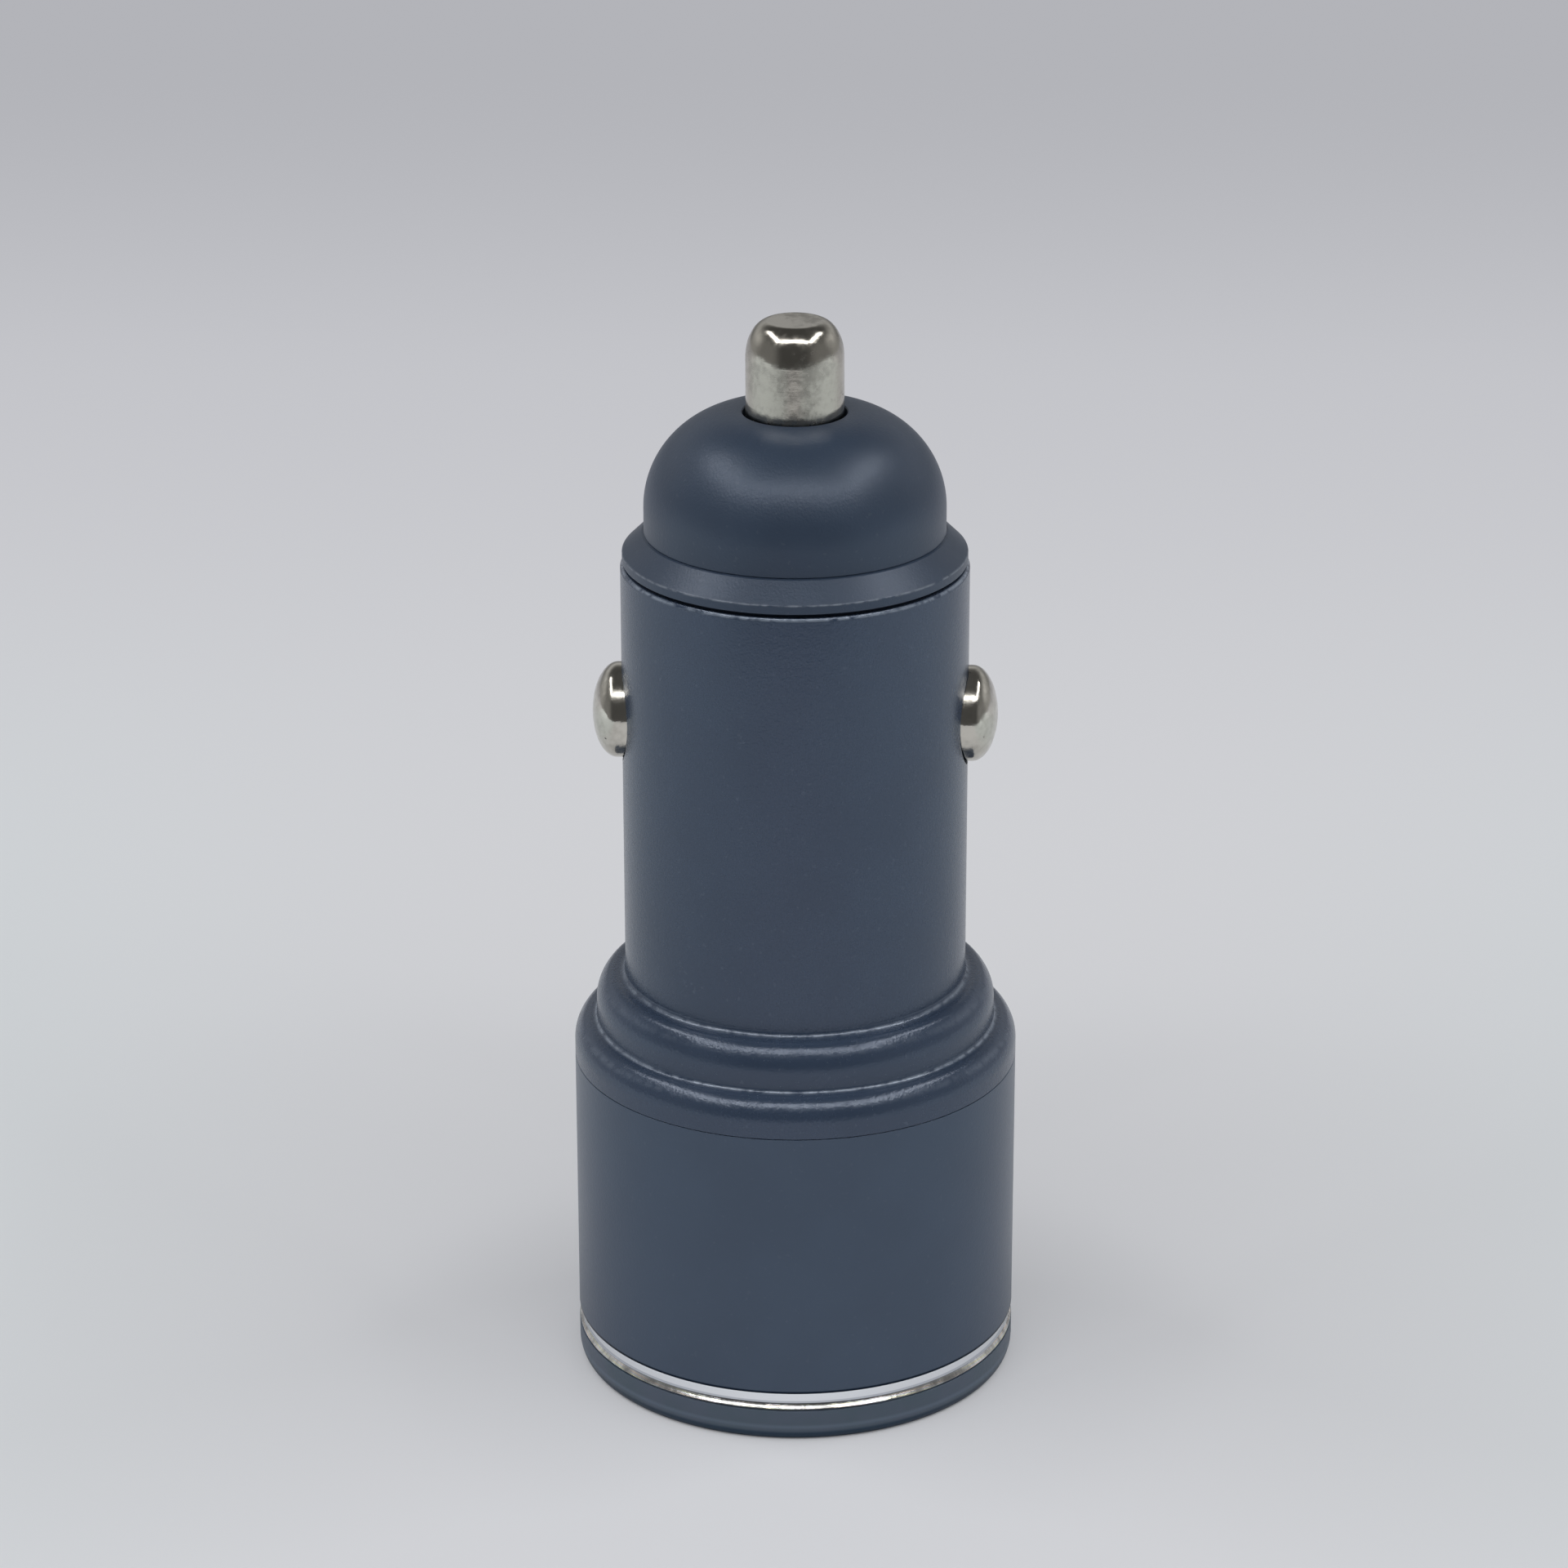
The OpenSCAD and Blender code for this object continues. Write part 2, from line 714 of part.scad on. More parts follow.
// Ferrite drum of the power inductor
module inductor_core() {
    color("#3a3b3e")
    on_board(0, z_coil)
        revolve([
            [0, 0], [coil_d / 2, 0], [coil_d / 2, coil_cheek], [coil_d / 4, coil_cheek],
            [coil_d / 4, coil_h - coil_cheek], [coil_d / 2, coil_h - coil_cheek],
            [coil_d / 2, coil_h], [0, coil_h]
        ]);
}

// Copper winding, shown as its outer layer of turns
module inductor_winding() {
    rows = 7;
    gap = 0.02 * grid;
    z0 = coil_cheek + gap;
    z1 = coil_h - coil_cheek - gap;
    wire_r = (z1 - z0) / rows / 2;
    out = coil_d / 2 - 0.5 * grid;
    ridges = [
        for (i = [0:rows - 1], a = [-90:30:90])
            [out - wire_r + wire_r * cos(a), z0 + wire_r * (2 * i + 1 + sin(a))]
    ];
    color("#b8692c")
    on_board(0, z_coil)
        revolve(concat(
            [[coil_d / 4 + gap, z0]],
            ridges,
            [[coil_d / 4 + gap, z1]]
        ));
}

// Aluminium can with a crimped waist and a rounded top
module capacitor_can(x, back) {
    r = can_d / 2;
    waist = 0.25 * grid;
    top_round = 0.4 * grid;
    crimp = 0.3 * grid;
    foot = can_base_t + 0.5 * grid;
    color("#c9cbcf")
    on_board(x, z_can, back)
        revolve(concat(
            [
                [0, can_base_t], [r, can_base_t], [r, foot],
                [r - waist, foot + crimp], [r, foot + 2 * crimp]
            ],
            arc(r - top_round, can_h - top_round, top_round, top_round, 0, 90, 6),
            [[0, can_h]]
        ));
}

// Square plastic base with two cut corners
module capacitor_base(x, back) {
    h = can_base / 2;
    cut = grid;
    color("#1c1d20")
    on_board(x, z_can, back)
        linear_extrude(can_base_t)
            polygon([[-h, -h], [h, -h], [h, h - cut], [h - cut, h], [cut - h, h], [-h, h - cut]]);
}

module input_capacitor() { capacitor_can(-can_x, false); }
module input_capacitor_base() { capacitor_base(-can_x, false); }
module output_capacitor() { capacitor_can(-can_x, true); }
module output_capacitor_base() { capacitor_base(-can_x, true); }

// Moulded chip body, standing off the board on its legs
module chip_body(size) {
    color("#202226") translate([0, 0, chip_off]) block(size);
}

// Bent legs on both long sides of a chip: n on each side at the given pitch
module chip_legs(size, n, pitch, leg_w) {
    t = 0.15 * grid;
    reach = 0.95 * grid;
    mid = chip_off + size[2] / 2;
    color("#b9bcc0")
    for (s = [0, 180], i = [0:n - 1])
        rotate(s)
            translate([size[0] / 2, (i - (n - 1) / 2) * pitch - leg_w / 2, 0])
                rotate([90, 0, 0])
                    mirror([0, 0, 1])
                        linear_extrude(leg_w)
                            polygon([
                                [0, mid], [0, mid + t], [reach / 2, mid + t], [reach / 2, t],
                                [reach, t], [reach, 0], [reach / 2 - t, 0], [reach / 2 - t, mid]
                            ]);
}

module converter_chip() { on_board(chip_x, z_can) chip_body(converter); }
module converter_chip_legs() {
    on_board(chip_x, z_can) chip_legs(converter, 4, 1.27 * grid, 0.4 * grid);
}

// One small charging controller for each port
module port_chips() {
    for (back = [false, true]) on_board(port_chip_x, z_coil, back) chip_body(port_chip);
}

module port_chip_legs() {
    for (back = [false, true])
        on_board(port_chip_x, z_coil, back)
            chip_legs(port_chip, 3, 0.95 * grid, 0.35 * grid);
}

// Diode on a flat strip whose ends stand out of its body
module catch_diode() {
    color("#17181a")
    on_board(chip_x, z_can + diode_rise, true) {
        translate([0, 0, chip_off]) block(diode);
        block(diode_strip);
    }
}

module input_fuse() {
    color("#e4e1d6") on_board(chip_x, z_can - fuse_drop, true) block(fuse);
}

// Small capacitors: four beside the inductor on the front and six behind it on the back
module ceramic_capacitors() {
    color("#b08a5a") {
        for (i = [0:3])
            on_board(-port_chip_x, z_coil + capacitor_rise * (i - 1.5)) block(chip_capacitor);
        for (i = [-1:1], j = [-0.5, 0.5])
            on_board(capacitor_step[0] * i, z_coil + capacitor_step[1] * j, true) block(chip_capacitor);
    }
}

// Small resistors in two rows on the back
module chip_resistors() {
    color("#2b2c30")
    for (i = [-3:1])
        on_board(resistor_step * i - grid / 5, z_coil + resistor_rise, true) block(chip_resistor);
}

barrel_shell();
head_sleeve();
trim_ring();
face_bezel();
nose_cap();
tip_contact();
tip_bush();
tip_spring();
tip_spring_seat();
ground_contact_left();
ground_contact_right();
ground_spring_left();
ground_spring_right();
ground_strip_left();
ground_strip_right();
contact_carrier();
insulating_liner();
circuit_board();
tip_solder();
usb_shell_front();
usb_shell_back();
usb_tongue_front();
usb_tongue_back();
usb_pins_front();
usb_pins_back();
inductor_core();
inductor_winding();
input_capacitor();
input_capacitor_base();
output_capacitor();
output_capacitor_base();
converter_chip();
converter_chip_legs();
port_chips();
port_chip_legs();
catch_diode();
input_fuse();
ceramic_capacitors();
chip_resistors();
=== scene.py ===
import bmesh
import bpy
import math
from mathutils import Matrix, Vector


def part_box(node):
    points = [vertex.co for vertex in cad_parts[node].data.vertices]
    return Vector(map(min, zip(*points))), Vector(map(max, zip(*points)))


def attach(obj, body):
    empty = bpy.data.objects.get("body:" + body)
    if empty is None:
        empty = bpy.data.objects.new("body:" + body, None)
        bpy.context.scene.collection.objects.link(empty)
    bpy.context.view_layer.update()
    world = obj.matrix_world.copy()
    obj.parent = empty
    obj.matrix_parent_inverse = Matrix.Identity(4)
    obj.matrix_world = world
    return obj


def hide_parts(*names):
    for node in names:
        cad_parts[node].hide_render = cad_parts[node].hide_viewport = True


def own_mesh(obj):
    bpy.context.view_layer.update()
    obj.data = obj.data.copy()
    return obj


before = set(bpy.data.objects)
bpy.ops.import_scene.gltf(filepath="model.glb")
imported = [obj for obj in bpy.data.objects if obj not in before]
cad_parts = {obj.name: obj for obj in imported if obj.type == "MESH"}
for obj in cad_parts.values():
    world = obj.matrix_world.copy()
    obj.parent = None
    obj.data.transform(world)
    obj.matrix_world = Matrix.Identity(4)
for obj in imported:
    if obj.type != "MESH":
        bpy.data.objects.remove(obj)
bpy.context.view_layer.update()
mm = 0.001
print("frame loaded")


# Number on a node tree. Sums written with it add Math nodes.
class Num:
    def __init__(self, tree, socket):
        self.tree, self.socket = tree, socket

    def math(self, operation, *values):
        node = self.tree.nodes.new("ShaderNodeMath")
        node.operation = operation
        for place, value in zip(node.inputs, values):
            if isinstance(value, Num):
                self.tree.links.new(value.socket, place)
            else:
                place.default_value = value
        return Num(self.tree, node.outputs[0])

    def __add__(self, other):
        return self.math("ADD", self, other)

    def __radd__(self, other):
        return self.math("ADD", other, self)

    def __sub__(self, other):
        return self.math("SUBTRACT", self, other)

    def __rsub__(self, other):
        return self.math("SUBTRACT", other, self)

    def __mul__(self, other):
        return self.math("MULTIPLY", self, other)

    def __rmul__(self, other):
        return self.math("MULTIPLY", other, self)

    def __truediv__(self, other):
        return self.math("DIVIDE", self, other)

    def __rtruediv__(self, other):
        return self.math("DIVIDE", other, self)

    def __pow__(self, other):
        return self.math("POWER", self, other)

    def __gt__(self, other):
        return self.math("GREATER_THAN", self, other)

    def __lt__(self, other):
        return self.math("LESS_THAN", self, other)

    # 0 below low, 1 above high, smooth between them
    def rise(self, low, high):
        t = self.math("MINIMUM", self.math("MAXIMUM", (self - low) / (high - low), 0.0), 1.0)
        return t * t * (3 - 2 * t)

    # 1 near the middle value, fading out over the width to each side
    def near(self, middle, width):
        return 1 - self.math("ABSOLUTE", self - middle).rise(0.0, width)


# Builder for one node tree: any node comes from add()
class Tree:
    def __init__(self, tree):
        self.tree = tree
        tree.nodes.clear()

    def find(self, sockets, key):
        for s in sockets:
            if s.identifier == key:
                return s
        return sockets[key]

    def add(self, kind, settings=None, values=None):
        node = self.tree.nodes.new(kind)
        for key, value in (settings or {}).items():
            if key == "stops":
                ramp = node.color_ramp
                while len(ramp.elements) < len(value):
                    ramp.elements.new(0.5)
                for stop, (position, color) in zip(ramp.elements, value):
                    stop.position = position
                    stop.color = (*color, 1.0)
            else:
                setattr(node, key, value)
        for key, value in (values or {}).items():
            place = self.find(node.inputs, key)
            if isinstance(value, Num):
                self.tree.links.new(value.socket, place)
            elif isinstance(value, bpy.types.NodeSocket):
                self.tree.links.new(value, place)
            else:
                place.default_value = value
        return node

    def num(self, node, key=0):
        socket = node.outputs[key] if isinstance(key, int) else self.find(node.outputs, key)
        return Num(self.tree, socket)

    # Object coordinates in millimetres, squeezed along an axis where a pattern is drawn out
    def place(self, squeeze=(1, 1, 1)):
        coords = self.add("ShaderNodeTexCoord").outputs["Object"]
        sizes = tuple(s / mm for s in squeeze)
        return self.add("ShaderNodeVectorMath", {"operation": "MULTIPLY"}, {0: coords, 1: sizes}).outputs[0]

    def axes(self):
        node = self.add("ShaderNodeSeparateXYZ", None, {"Vector": self.place()})
        return [self.num(node, i) for i in range(3)]

    def noise(self, scale, detail, squeeze=(1, 1, 1)):
        values = {"Vector": self.place(squeeze), "Scale": scale, "Detail": detail}
        return self.num(self.add("ShaderNodeTexNoise", None, values))

    def mix(self, factor, a, b):
        first, second = ((*c, 1.0) if isinstance(c, tuple) else c for c in (a, b))
        values = {"Factor_Float": factor, "A_Color": first, "B_Color": second}
        node = self.add("ShaderNodeMix", {"data_type": "RGBA"}, values)
        return self.find(node.outputs, "Result_Color")

    def bump(self, height, depth, under=None):
        values = {"Strength": 1.0, "Distance": depth * mm, "Height": height}
        if under is not None:
            values["Normal"] = under
        return self.add("ShaderNodeBump", None, values).outputs[0]


def newMaterial(name):
    material = bpy.data.materials.new(name)
    material.use_nodes = True
    return material, Tree(material.node_tree)


def finishMaterial(tree, values):
    shader = tree.add("ShaderNodeBsdfPrincipled", None, values)
    tree.add("ShaderNodeOutputMaterial", None, {"Surface": shader.outputs[0]})


# Blasted and anodised metal: fine grain, faint clouds and a few bright flecks. Painted highlight lines at
# heights given as middle, width and amount, and a near-black band of painted shade at the foot
def anodised(name, look):
    material, tree = newMaterial(name)
    grain = tree.noise(7.0, 2.0) * 0.65 + tree.noise(2.8, 1.0) * 0.35
    cloud = tree.noise(0.16, 3.0)
    fleck = tree.noise(3.1, 1.0).rise(0.69, 0.76)
    shade = tree.mix(cloud.rise(0.3, 0.7) * 0.7 + grain * 0.3, look["dark"], look["light"])
    color = tree.mix(fleck * look["fleck"], shade, look["bareAndHighlight"])
    z = tree.axes()[2]
    metallic = 0.2
    # Painted highlights: pale bands where fillets, chamfers and crowns catch the lamps' reflection, broken
    # up by noise
    for middle, width, amount in look.get("edges", []):
        paintedLineMask = z.near(middle, width) * amount * tree.noise(1.6, 2.0).rise(0.3, 0.6)
        color = tree.mix(paintedLineMask, color, look["bareAndHighlight"])
    # Painted shade: below this span the part turns near black and fully metallic, so its lowest band keeps
    # no sheen
    if "paintedShadeSpan" in look:
        dark = 1 - z.rise(*look["paintedShadeSpan"])
        color = tree.mix(dark, color, look["paintedShadeColor"])
        metallic = metallic + dark * (1 - metallic)
    finishMaterial(tree, {
        "Base Color": color,
        "Metallic": metallic,
        "Roughness": look["roughness"] + (grain - 0.5) * 0.12 + (cloud - 0.5) * 0.06,
        "IOR": look["ior"],
        "Normal": tree.bump(grain, look["grainDepth"]),
    })
    return material


anodising = {
    "body": {
        "dark": (0.041, 0.0635, 0.109), "light": (0.048, 0.074, 0.125), "bareAndHighlight": (0.27, 0.32, 0.40),
        "ior": 1.58, "roughness": 0.26, "grainDepth": 0.024, "fleck": 0.08,
        # Painted highlight lines: fillet feet, tube-top chamfer and the two step crowns
        "edges": [
            (22.31, 0.12, 0.9), (25.14, 0.14, 0.6), (50.86, 0.11, 1.0),
            (21.76, 0.26, 0.20), (24.52, 0.28, 0.14),
        ],
    },
    "sleeve": {
        "dark": (0.045, 0.073, 0.122), "light": (0.052, 0.084, 0.138), "bareAndHighlight": (0.20, 0.24, 0.30),
        "ior": 1.6, "roughness": 0.32, "grainDepth": 0.014, "fleck": 0.06,
        # Painted shade under the sleeve's foot, above the ring: its span in height and its colour
        "paintedShadeSpan": (3.28, 3.35), "paintedShadeColor": (0.012, 0.02, 0.034),
    },
    "nose": {
        "dark": (0.036, 0.056, 0.094), "light": (0.042, 0.066, 0.110), "bareAndHighlight": (0.22, 0.25, 0.30),
        "ior": 1.55, "roughness": 0.40, "grainDepth": 0.018, "fleck": 0.08,
        # Painted highlight line at the foot of the collar's bevel
        "edges": [(51.72, 0.09, 0.8)],
    },
}
bodyFinish = anodised("anodisedBody", anodising["body"])
sleeveFinish = anodised("anodisedSleeve", anodising["sleeve"])
noseFinish = anodised("anodisedNose", anodising["nose"])


# Plated contact: mirror bright, with faint waves, fine turning lines, smears and a few pits
plating = {
    "tip": {
        "bright": (0.50, 0.475, 0.42), "dull": (0.40, 0.38, 0.34), "squeeze": (0.3, 0.3, 14.0),
        "roughness": 0.13, "smear": 0.20, "waveDepth": 0.010, "spotDepth": 0.006,
    },
    "contact": {
        "bright": (0.62, 0.595, 0.535), "dull": (0.46, 0.44, 0.39), "squeeze": (14.0, 0.3, 0.3),
        "roughness": 0.10, "smear": 0.14, "waveDepth": 0.012, "spotDepth": 0.007,
    },
}


def plated(name, look):
    material, tree = newMaterial(name)
    wave = tree.noise(0.85, 2.0)
    spot = tree.noise(2.6, 3.0)
    line = tree.noise(1.0, 2.0, look["squeeze"])
    smear = (tree.noise(0.5, 4.0) * 0.6 + spot * 0.4).rise(0.42, 0.66)
    pit = tree.noise(1.9, 1.0).rise(0.77, 0.80)
    color = tree.mix(smear * 0.8, look["bright"], look["dull"])
    waves = tree.bump(spot, look["spotDepth"], tree.bump(wave, look["waveDepth"]))
    finishMaterial(tree, {
        "Base Color": tree.mix(pit, color, (0.09, 0.085, 0.08)),
        "Metallic": 1.0,
        "Roughness": look["roughness"] + smear * look["smear"] + pit * 0.3,
        "Normal": tree.bump(line, 0.0016, waves),
    })
    return material


tipFinish = plated("nickelTip", plating["tip"])
contactFinish = plated("nickelContact", plating["contact"])

# Trim ring: polished band, a cove and a slanted cut with a faint rainbow glint painted on
ring = {
    "in": 12.05, "z0": 2.1, "z1": 3.15, "inset": 0.25, "cove": 0.4, "turn": 42.0, "corner": 0.04,
    "band": (0.95, 0.975, 1.0), "hollow": (0.60, 0.63, 0.68), "cut": (0.92, 0.92, 0.90),
}


def ringFinish():
    material, tree = newMaterial("brightRing")
    x, y, z = tree.axes()
    lines = tree.noise(1.0, 1.0, (0.12, 0.12, 22.0))
    chatter = tree.noise(1.1, 3.0, (1.0, 1.0, 0.3))
    angle = x.math("ARCTAN2", y, x)
    phase = angle * 9.0 + z * 21.0
    fan = phase.math("SINE", phase)
    onCut = 1 - z.rise(ring["z0"] + 0.20, ring["z0"] + 0.32)
    inCove = 1 - z.rise(ring["z0"] + 0.40, ring["z0"] + 0.50)
    # Painted rainbow glint on the cut, fanning round the ring
    paintedRainbow = tree.add("ShaderNodeValToRGB", {"stops": [
        (0.0, (0.96, 0.90, 0.70)), (0.3, (0.80, 0.93, 0.86)), (0.55, (0.86, 0.88, 0.98)),
        (0.8, (0.97, 0.84, 0.90)), (1.0, (0.98, 0.92, 0.76)),
    ]}, {"Fac": fan * 0.5 + 0.5})
    cutColor = tree.mix(chatter.rise(0.35, 0.65), tuple(0.45 * c for c in ring["cut"]), paintedRainbow.outputs[0])
    finishMaterial(tree, {
        "Base Color": tree.mix(onCut, tree.mix(inCove, ring["band"], ring["hollow"]), cutColor),
        "Metallic": 1.0,
        "Roughness": 0.07 + lines * 0.06 + onCut * 0.14,
        "Normal": tree.bump(chatter * onCut, 0.03, tree.bump(lines, 0.0015)),
    })
    return material


# Satin moulding with a fine spark texture
def moulded(name, color, roughness=0.5, depth=0.006, scale=5.0):
    material, tree = newMaterial(name)
    skin = tree.noise(scale, 3.0)
    cloud = tree.noise(0.2, 2.0)
    darker = tuple(0.86 * c for c in color)
    lighter = tuple(min(1.0, 1.12 * c) for c in color)
    finishMaterial(tree, {
        "Base Color": tree.mix(cloud * 0.6 + skin * 0.4, darker, lighter),
        "Roughness": roughness + (skin - 0.5) * 0.2,
        "Normal": tree.bump(skin, depth),
    })
    return material


# Dark moulding of the rim, with painted shade where it turns under and a painted highlight line above it
def rimFinish():
    material, tree = newMaterial("faceMoulding")
    skin = tree.noise(4.0, 3.0)
    cloud = tree.noise(0.35, 3.0)
    z = tree.axes()[2]
    # Painted shade: near black and fully metallic where the rim turns under towards the floor
    under = 1 - z.rise(0.44, 0.72)
    patches = cloud.rise(0.35, 0.65) * 0.8 + skin * 0.2
    color = tree.mix(patches, (0.072, 0.108, 0.146), (0.086, 0.113, 0.163))
    # Painted highlight: a paler line round the rim above where it turns under
    crown = z.near(0.93, 0.22) * 0.5
    finishMaterial(tree, {
        "Base Color": tree.mix(under, tree.mix(crown, color, (0.14, 0.19, 0.26)), (0.045, 0.07, 0.105)),
        "Metallic": under,
        "Roughness": 0.42 + (skin - 0.5) * 0.2,
        "Normal": tree.bump(skin, 0.004),
    })
    return material


# Plain metal for the pieces inside: drawn or rolled lines and dull patches
def innerMetal(name, color, roughness=0.3, squeeze=(1, 1, 8)):
    material, tree = newMaterial(name)
    lines = tree.noise(1.5, 2.0, squeeze)
    dull = tree.noise(0.4, 3.0).rise(0.4, 0.7)
    finishMaterial(tree, {
        "Base Color": tree.mix(dull * 0.6 + lines * 0.2, color, tuple(0.72 * c for c in color)),
        "Metallic": 1.0,
        "Roughness": roughness + lines * 0.1 + dull * 0.12,
        "Normal": tree.bump(lines, 0.003),
    })
    return material


# Circuit board: green mask with copper tracks just under it
def boardFinish():
    material, tree = newMaterial("boardLaminate")
    y = tree.axes()[1]
    tracks = tree.add("ShaderNodeTexBrick", {"offset": 0.35}, {
        "Vector": tree.place(), "Scale": 0.35, "Mortar Size": 0.03, "Brick Width": 1.3, "Row Height": 0.7,
    })
    mask = tree.num(tracks, "Fac")
    weave = tree.noise(2.2, 2.0)
    color = tree.mix(mask * 0.55 + weave * 0.12, (0.010, 0.115, 0.048), (0.045, 0.23, 0.080))
    color = tree.mix(y.math("ABSOLUTE", y).rise(0.70, 0.74), (0.33, 0.30, 0.15), color)
    finishMaterial(tree, {
        "Base Color": color, "Roughness": 0.32 + weave * 0.15, "Normal": tree.bump(mask, 0.02),
    })
    return material


print("materials made")


def assign(node, material):
    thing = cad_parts[node]
    thing.data.materials.clear()
    thing.data.materials.append(material)


cadFinish = {
    "tip_bush": moulded("bushPlastic", (0.78, 0.76, 0.70)),
    "tip_spring_seat": innerMetal("seatBrass", (0.80, 0.60, 0.27)),
    "contact_carrier": moulded("carrierPlastic", (0.022, 0.023, 0.027)),
    "insulating_liner": moulded("linerFilm", (0.76, 0.63, 0.33), 0.35, 0.002),
    "circuit_board": boardFinish(),
    "tip_solder": innerMetal("softSolder", (0.66, 0.67, 0.69), 0.35),
    "inductor_core": moulded("ferrite", (0.045, 0.046, 0.048), 0.6, 0.012, 3.0),
    "input_fuse": moulded("fuseCeramic", (0.74, 0.72, 0.64)),
    "ceramic_capacitors": moulded("capacitorCeramic", (0.40, 0.25, 0.12)),
    "chip_resistors": moulded("resistorFilm", (0.022, 0.022, 0.026), 0.4),
}
shared = {
    ("ground_strip_left", "ground_strip_right"): innerMetal("stripPlate", (0.70, 0.70, 0.66)),
    ("usb_shell_front", "usb_shell_back"): innerMetal("portSteel", (0.69, 0.69, 0.70), 0.24),
    ("usb_tongue_front", "usb_tongue_back"): moulded("tonguePlastic", (0.80, 0.80, 0.77), 0.45, 0.004),
    ("usb_pins_front", "usb_pins_back"): innerMetal("pinGold", (0.88, 0.66, 0.30), 0.2),
    ("input_capacitor", "output_capacitor"): innerMetal("canMetal", (0.75, 0.76, 0.77), 0.28),
    ("input_capacitor_base", "output_capacitor_base"): moulded("canBase", (0.02, 0.02, 0.022)),
    ("converter_chip", "port_chips", "catch_diode"): moulded("chipResin", (0.021, 0.022, 0.024), 0.55),
    ("converter_chip_legs", "port_chip_legs"): innerMetal("legTin", (0.68, 0.68, 0.69), 0.3),
}
for node, material in cadFinish.items():
    assign(node, material)
for nodes, material in shared.items():
    for node in nodes:
        assign(node, material)
print("carried-over nodes dressed")


# Points of an arc round (r, z), its angles in degrees
def arc(r, z, rx, rz, start, end, steps):
    angles = [math.radians(start + (end - start) * i / steps) for i in range(steps + 1)]
    return [(r + rx * math.cos(a), z + rz * math.sin(a)) for a in angles]


# Rounded step with its top at that height: a wide arc at its foot, a tighter one at its crown,
# run into the wall above it by a small fillet
def stepCurve(out, top, round, lean, wall, fillet):
    foot, crown = round * (1 + lean), round * (1 - lean)
    shift = (foot - crown) * math.sin(math.radians(45))
    r, z = out - foot + shift, top - crown
    across = max(0.0, wall + fillet - r)
    up = math.sqrt((crown + fillet) ** 2 - across ** 2)
    turn = math.degrees(math.atan2(up, across))
    curve = arc(out - foot, z - shift, foot, foot, 0, 45, 16) + arc(r, z, crown, crown, 45, turn, 16)
    return curve + arc(wall + fillet, z + up, fillet, fillet, turn + 180, 180, 12)


# Takes the corners named by their number off a profile with a small round
def soften(profile, corners, steps=4):
    made = []
    count = len(profile)
    for i, point in enumerate(profile):
        radius = corners.get(i, 0)
        if not radius:
            made.append(point)
            continue
        here = Vector(point)
        back = Vector(profile[i - 1]) - here
        ahead = Vector(profile[(i + 1) % count]) - here
        half = back.angle(ahead) / 2
        reach = min(radius / math.tan(half), back.length * 0.49, ahead.length * 0.49)
        first, last = here + back.normalized() * reach, here + ahead.normalized() * reach
        for k in range(steps + 1):
            t = k / steps
            p = first * (1 - t) ** 2 + here * 2 * t * (1 - t) + last * t * t
            made.append((p.x, p.y))
    return made


# Turn between two faces from which their edge shows as sharp
sharpFrom = math.radians(35)


# For each side of a closed outline, its normals at the first and last corner
def sideNormals(profile):
    sides = []
    for (r0, z0), (r1, z1) in zip(profile, profile[1:] + profile[:1]):
        length = math.hypot(r1 - r0, z1 - z0)
        sides.append((Vector(((z1 - z0) / length, (r0 - r1) / length)), length))
    normals = []
    for i, (n, length) in enumerate(sides):
        pair = []
        for m, other in (sides[i - 1], sides[(i + 1) % len(sides)]):
            smooth = n @ m > math.cos(sharpFrom)
            pair.append((n * length + m * other).normalized() if smooth else n)
        normals.append(pair)
    return normals


def addObject(name, data):
    thing = bpy.data.objects.new(name, data)
    bpy.context.scene.collection.objects.link(thing)
    return thing


# Turned piece from a closed outline of (radius, height) in millimetres. across is a side and a
# height: it lays the piece along X at that height, facing +X or -X.
def turned(name, profile, turns=224, across=None):
    profile = [p for i, p in enumerate(profile) if math.dist(p, profile[i - 1]) > 1e-5]
    area = sum(a[0] * b[1] - b[0] * a[1] for a, b in zip(profile, profile[1:] + profile[:1]))
    if area < 0:
        profile = profile[::-1]
    count = len(profile)
    normals = sideNormals(profile)
    onAxis = [r < 1e-6 for r, z in profile]
    vertices, index = [], []
    for (r, z), single in zip(profile, onAxis):
        first = len(vertices)
        if single:
            index.append([first] * turns)
            vertices.append((0, 0, z))
        else:
            index.append(list(range(first, first + turns)))
            angles = [2 * math.pi * k / turns for k in range(turns)]
            vertices.extend((r * math.cos(a), r * math.sin(a), z) for a in angles)
    faces, corners = [], []
    for i in range(count):
        j = (i + 1) % count
        if onAxis[i] and onAxis[j]:
            continue
        for k in range(turns):
            m = (k + 1) % turns
            face = []
            for at, turn in ((i, k), (i, m), (j, m), (j, k)):
                v = index[at][turn]
                if v in face:
                    continue
                face.append(v)
                n = normals[i][0 if at == i else 1]
                a = 2 * math.pi * (k + 0.5 if onAxis[at] else turn) / turns
                corners.append((n.x * math.cos(a), n.x * math.sin(a), n.y))
            faces.append(face)
    move = Matrix.Scale(mm, 4)
    if across is not None:
        side, height = across
        turn = Matrix.Rotation(math.radians(90 * side), 4, "Y")
        move = move @ Matrix.Translation((0, 0, height)) @ turn
    mesh = bpy.data.meshes.new(name)
    mesh.from_pydata([move @ Vector(v) for v in vertices], [], faces)
    spin = move.to_3x3().normalized()
    mesh.polygons.foreach_set("use_smooth", [True] * len(mesh.polygons))
    mesh.update()
    mesh.normals_split_custom_set([spin @ Vector(n) for n in corners])
    return addObject(name, mesh)


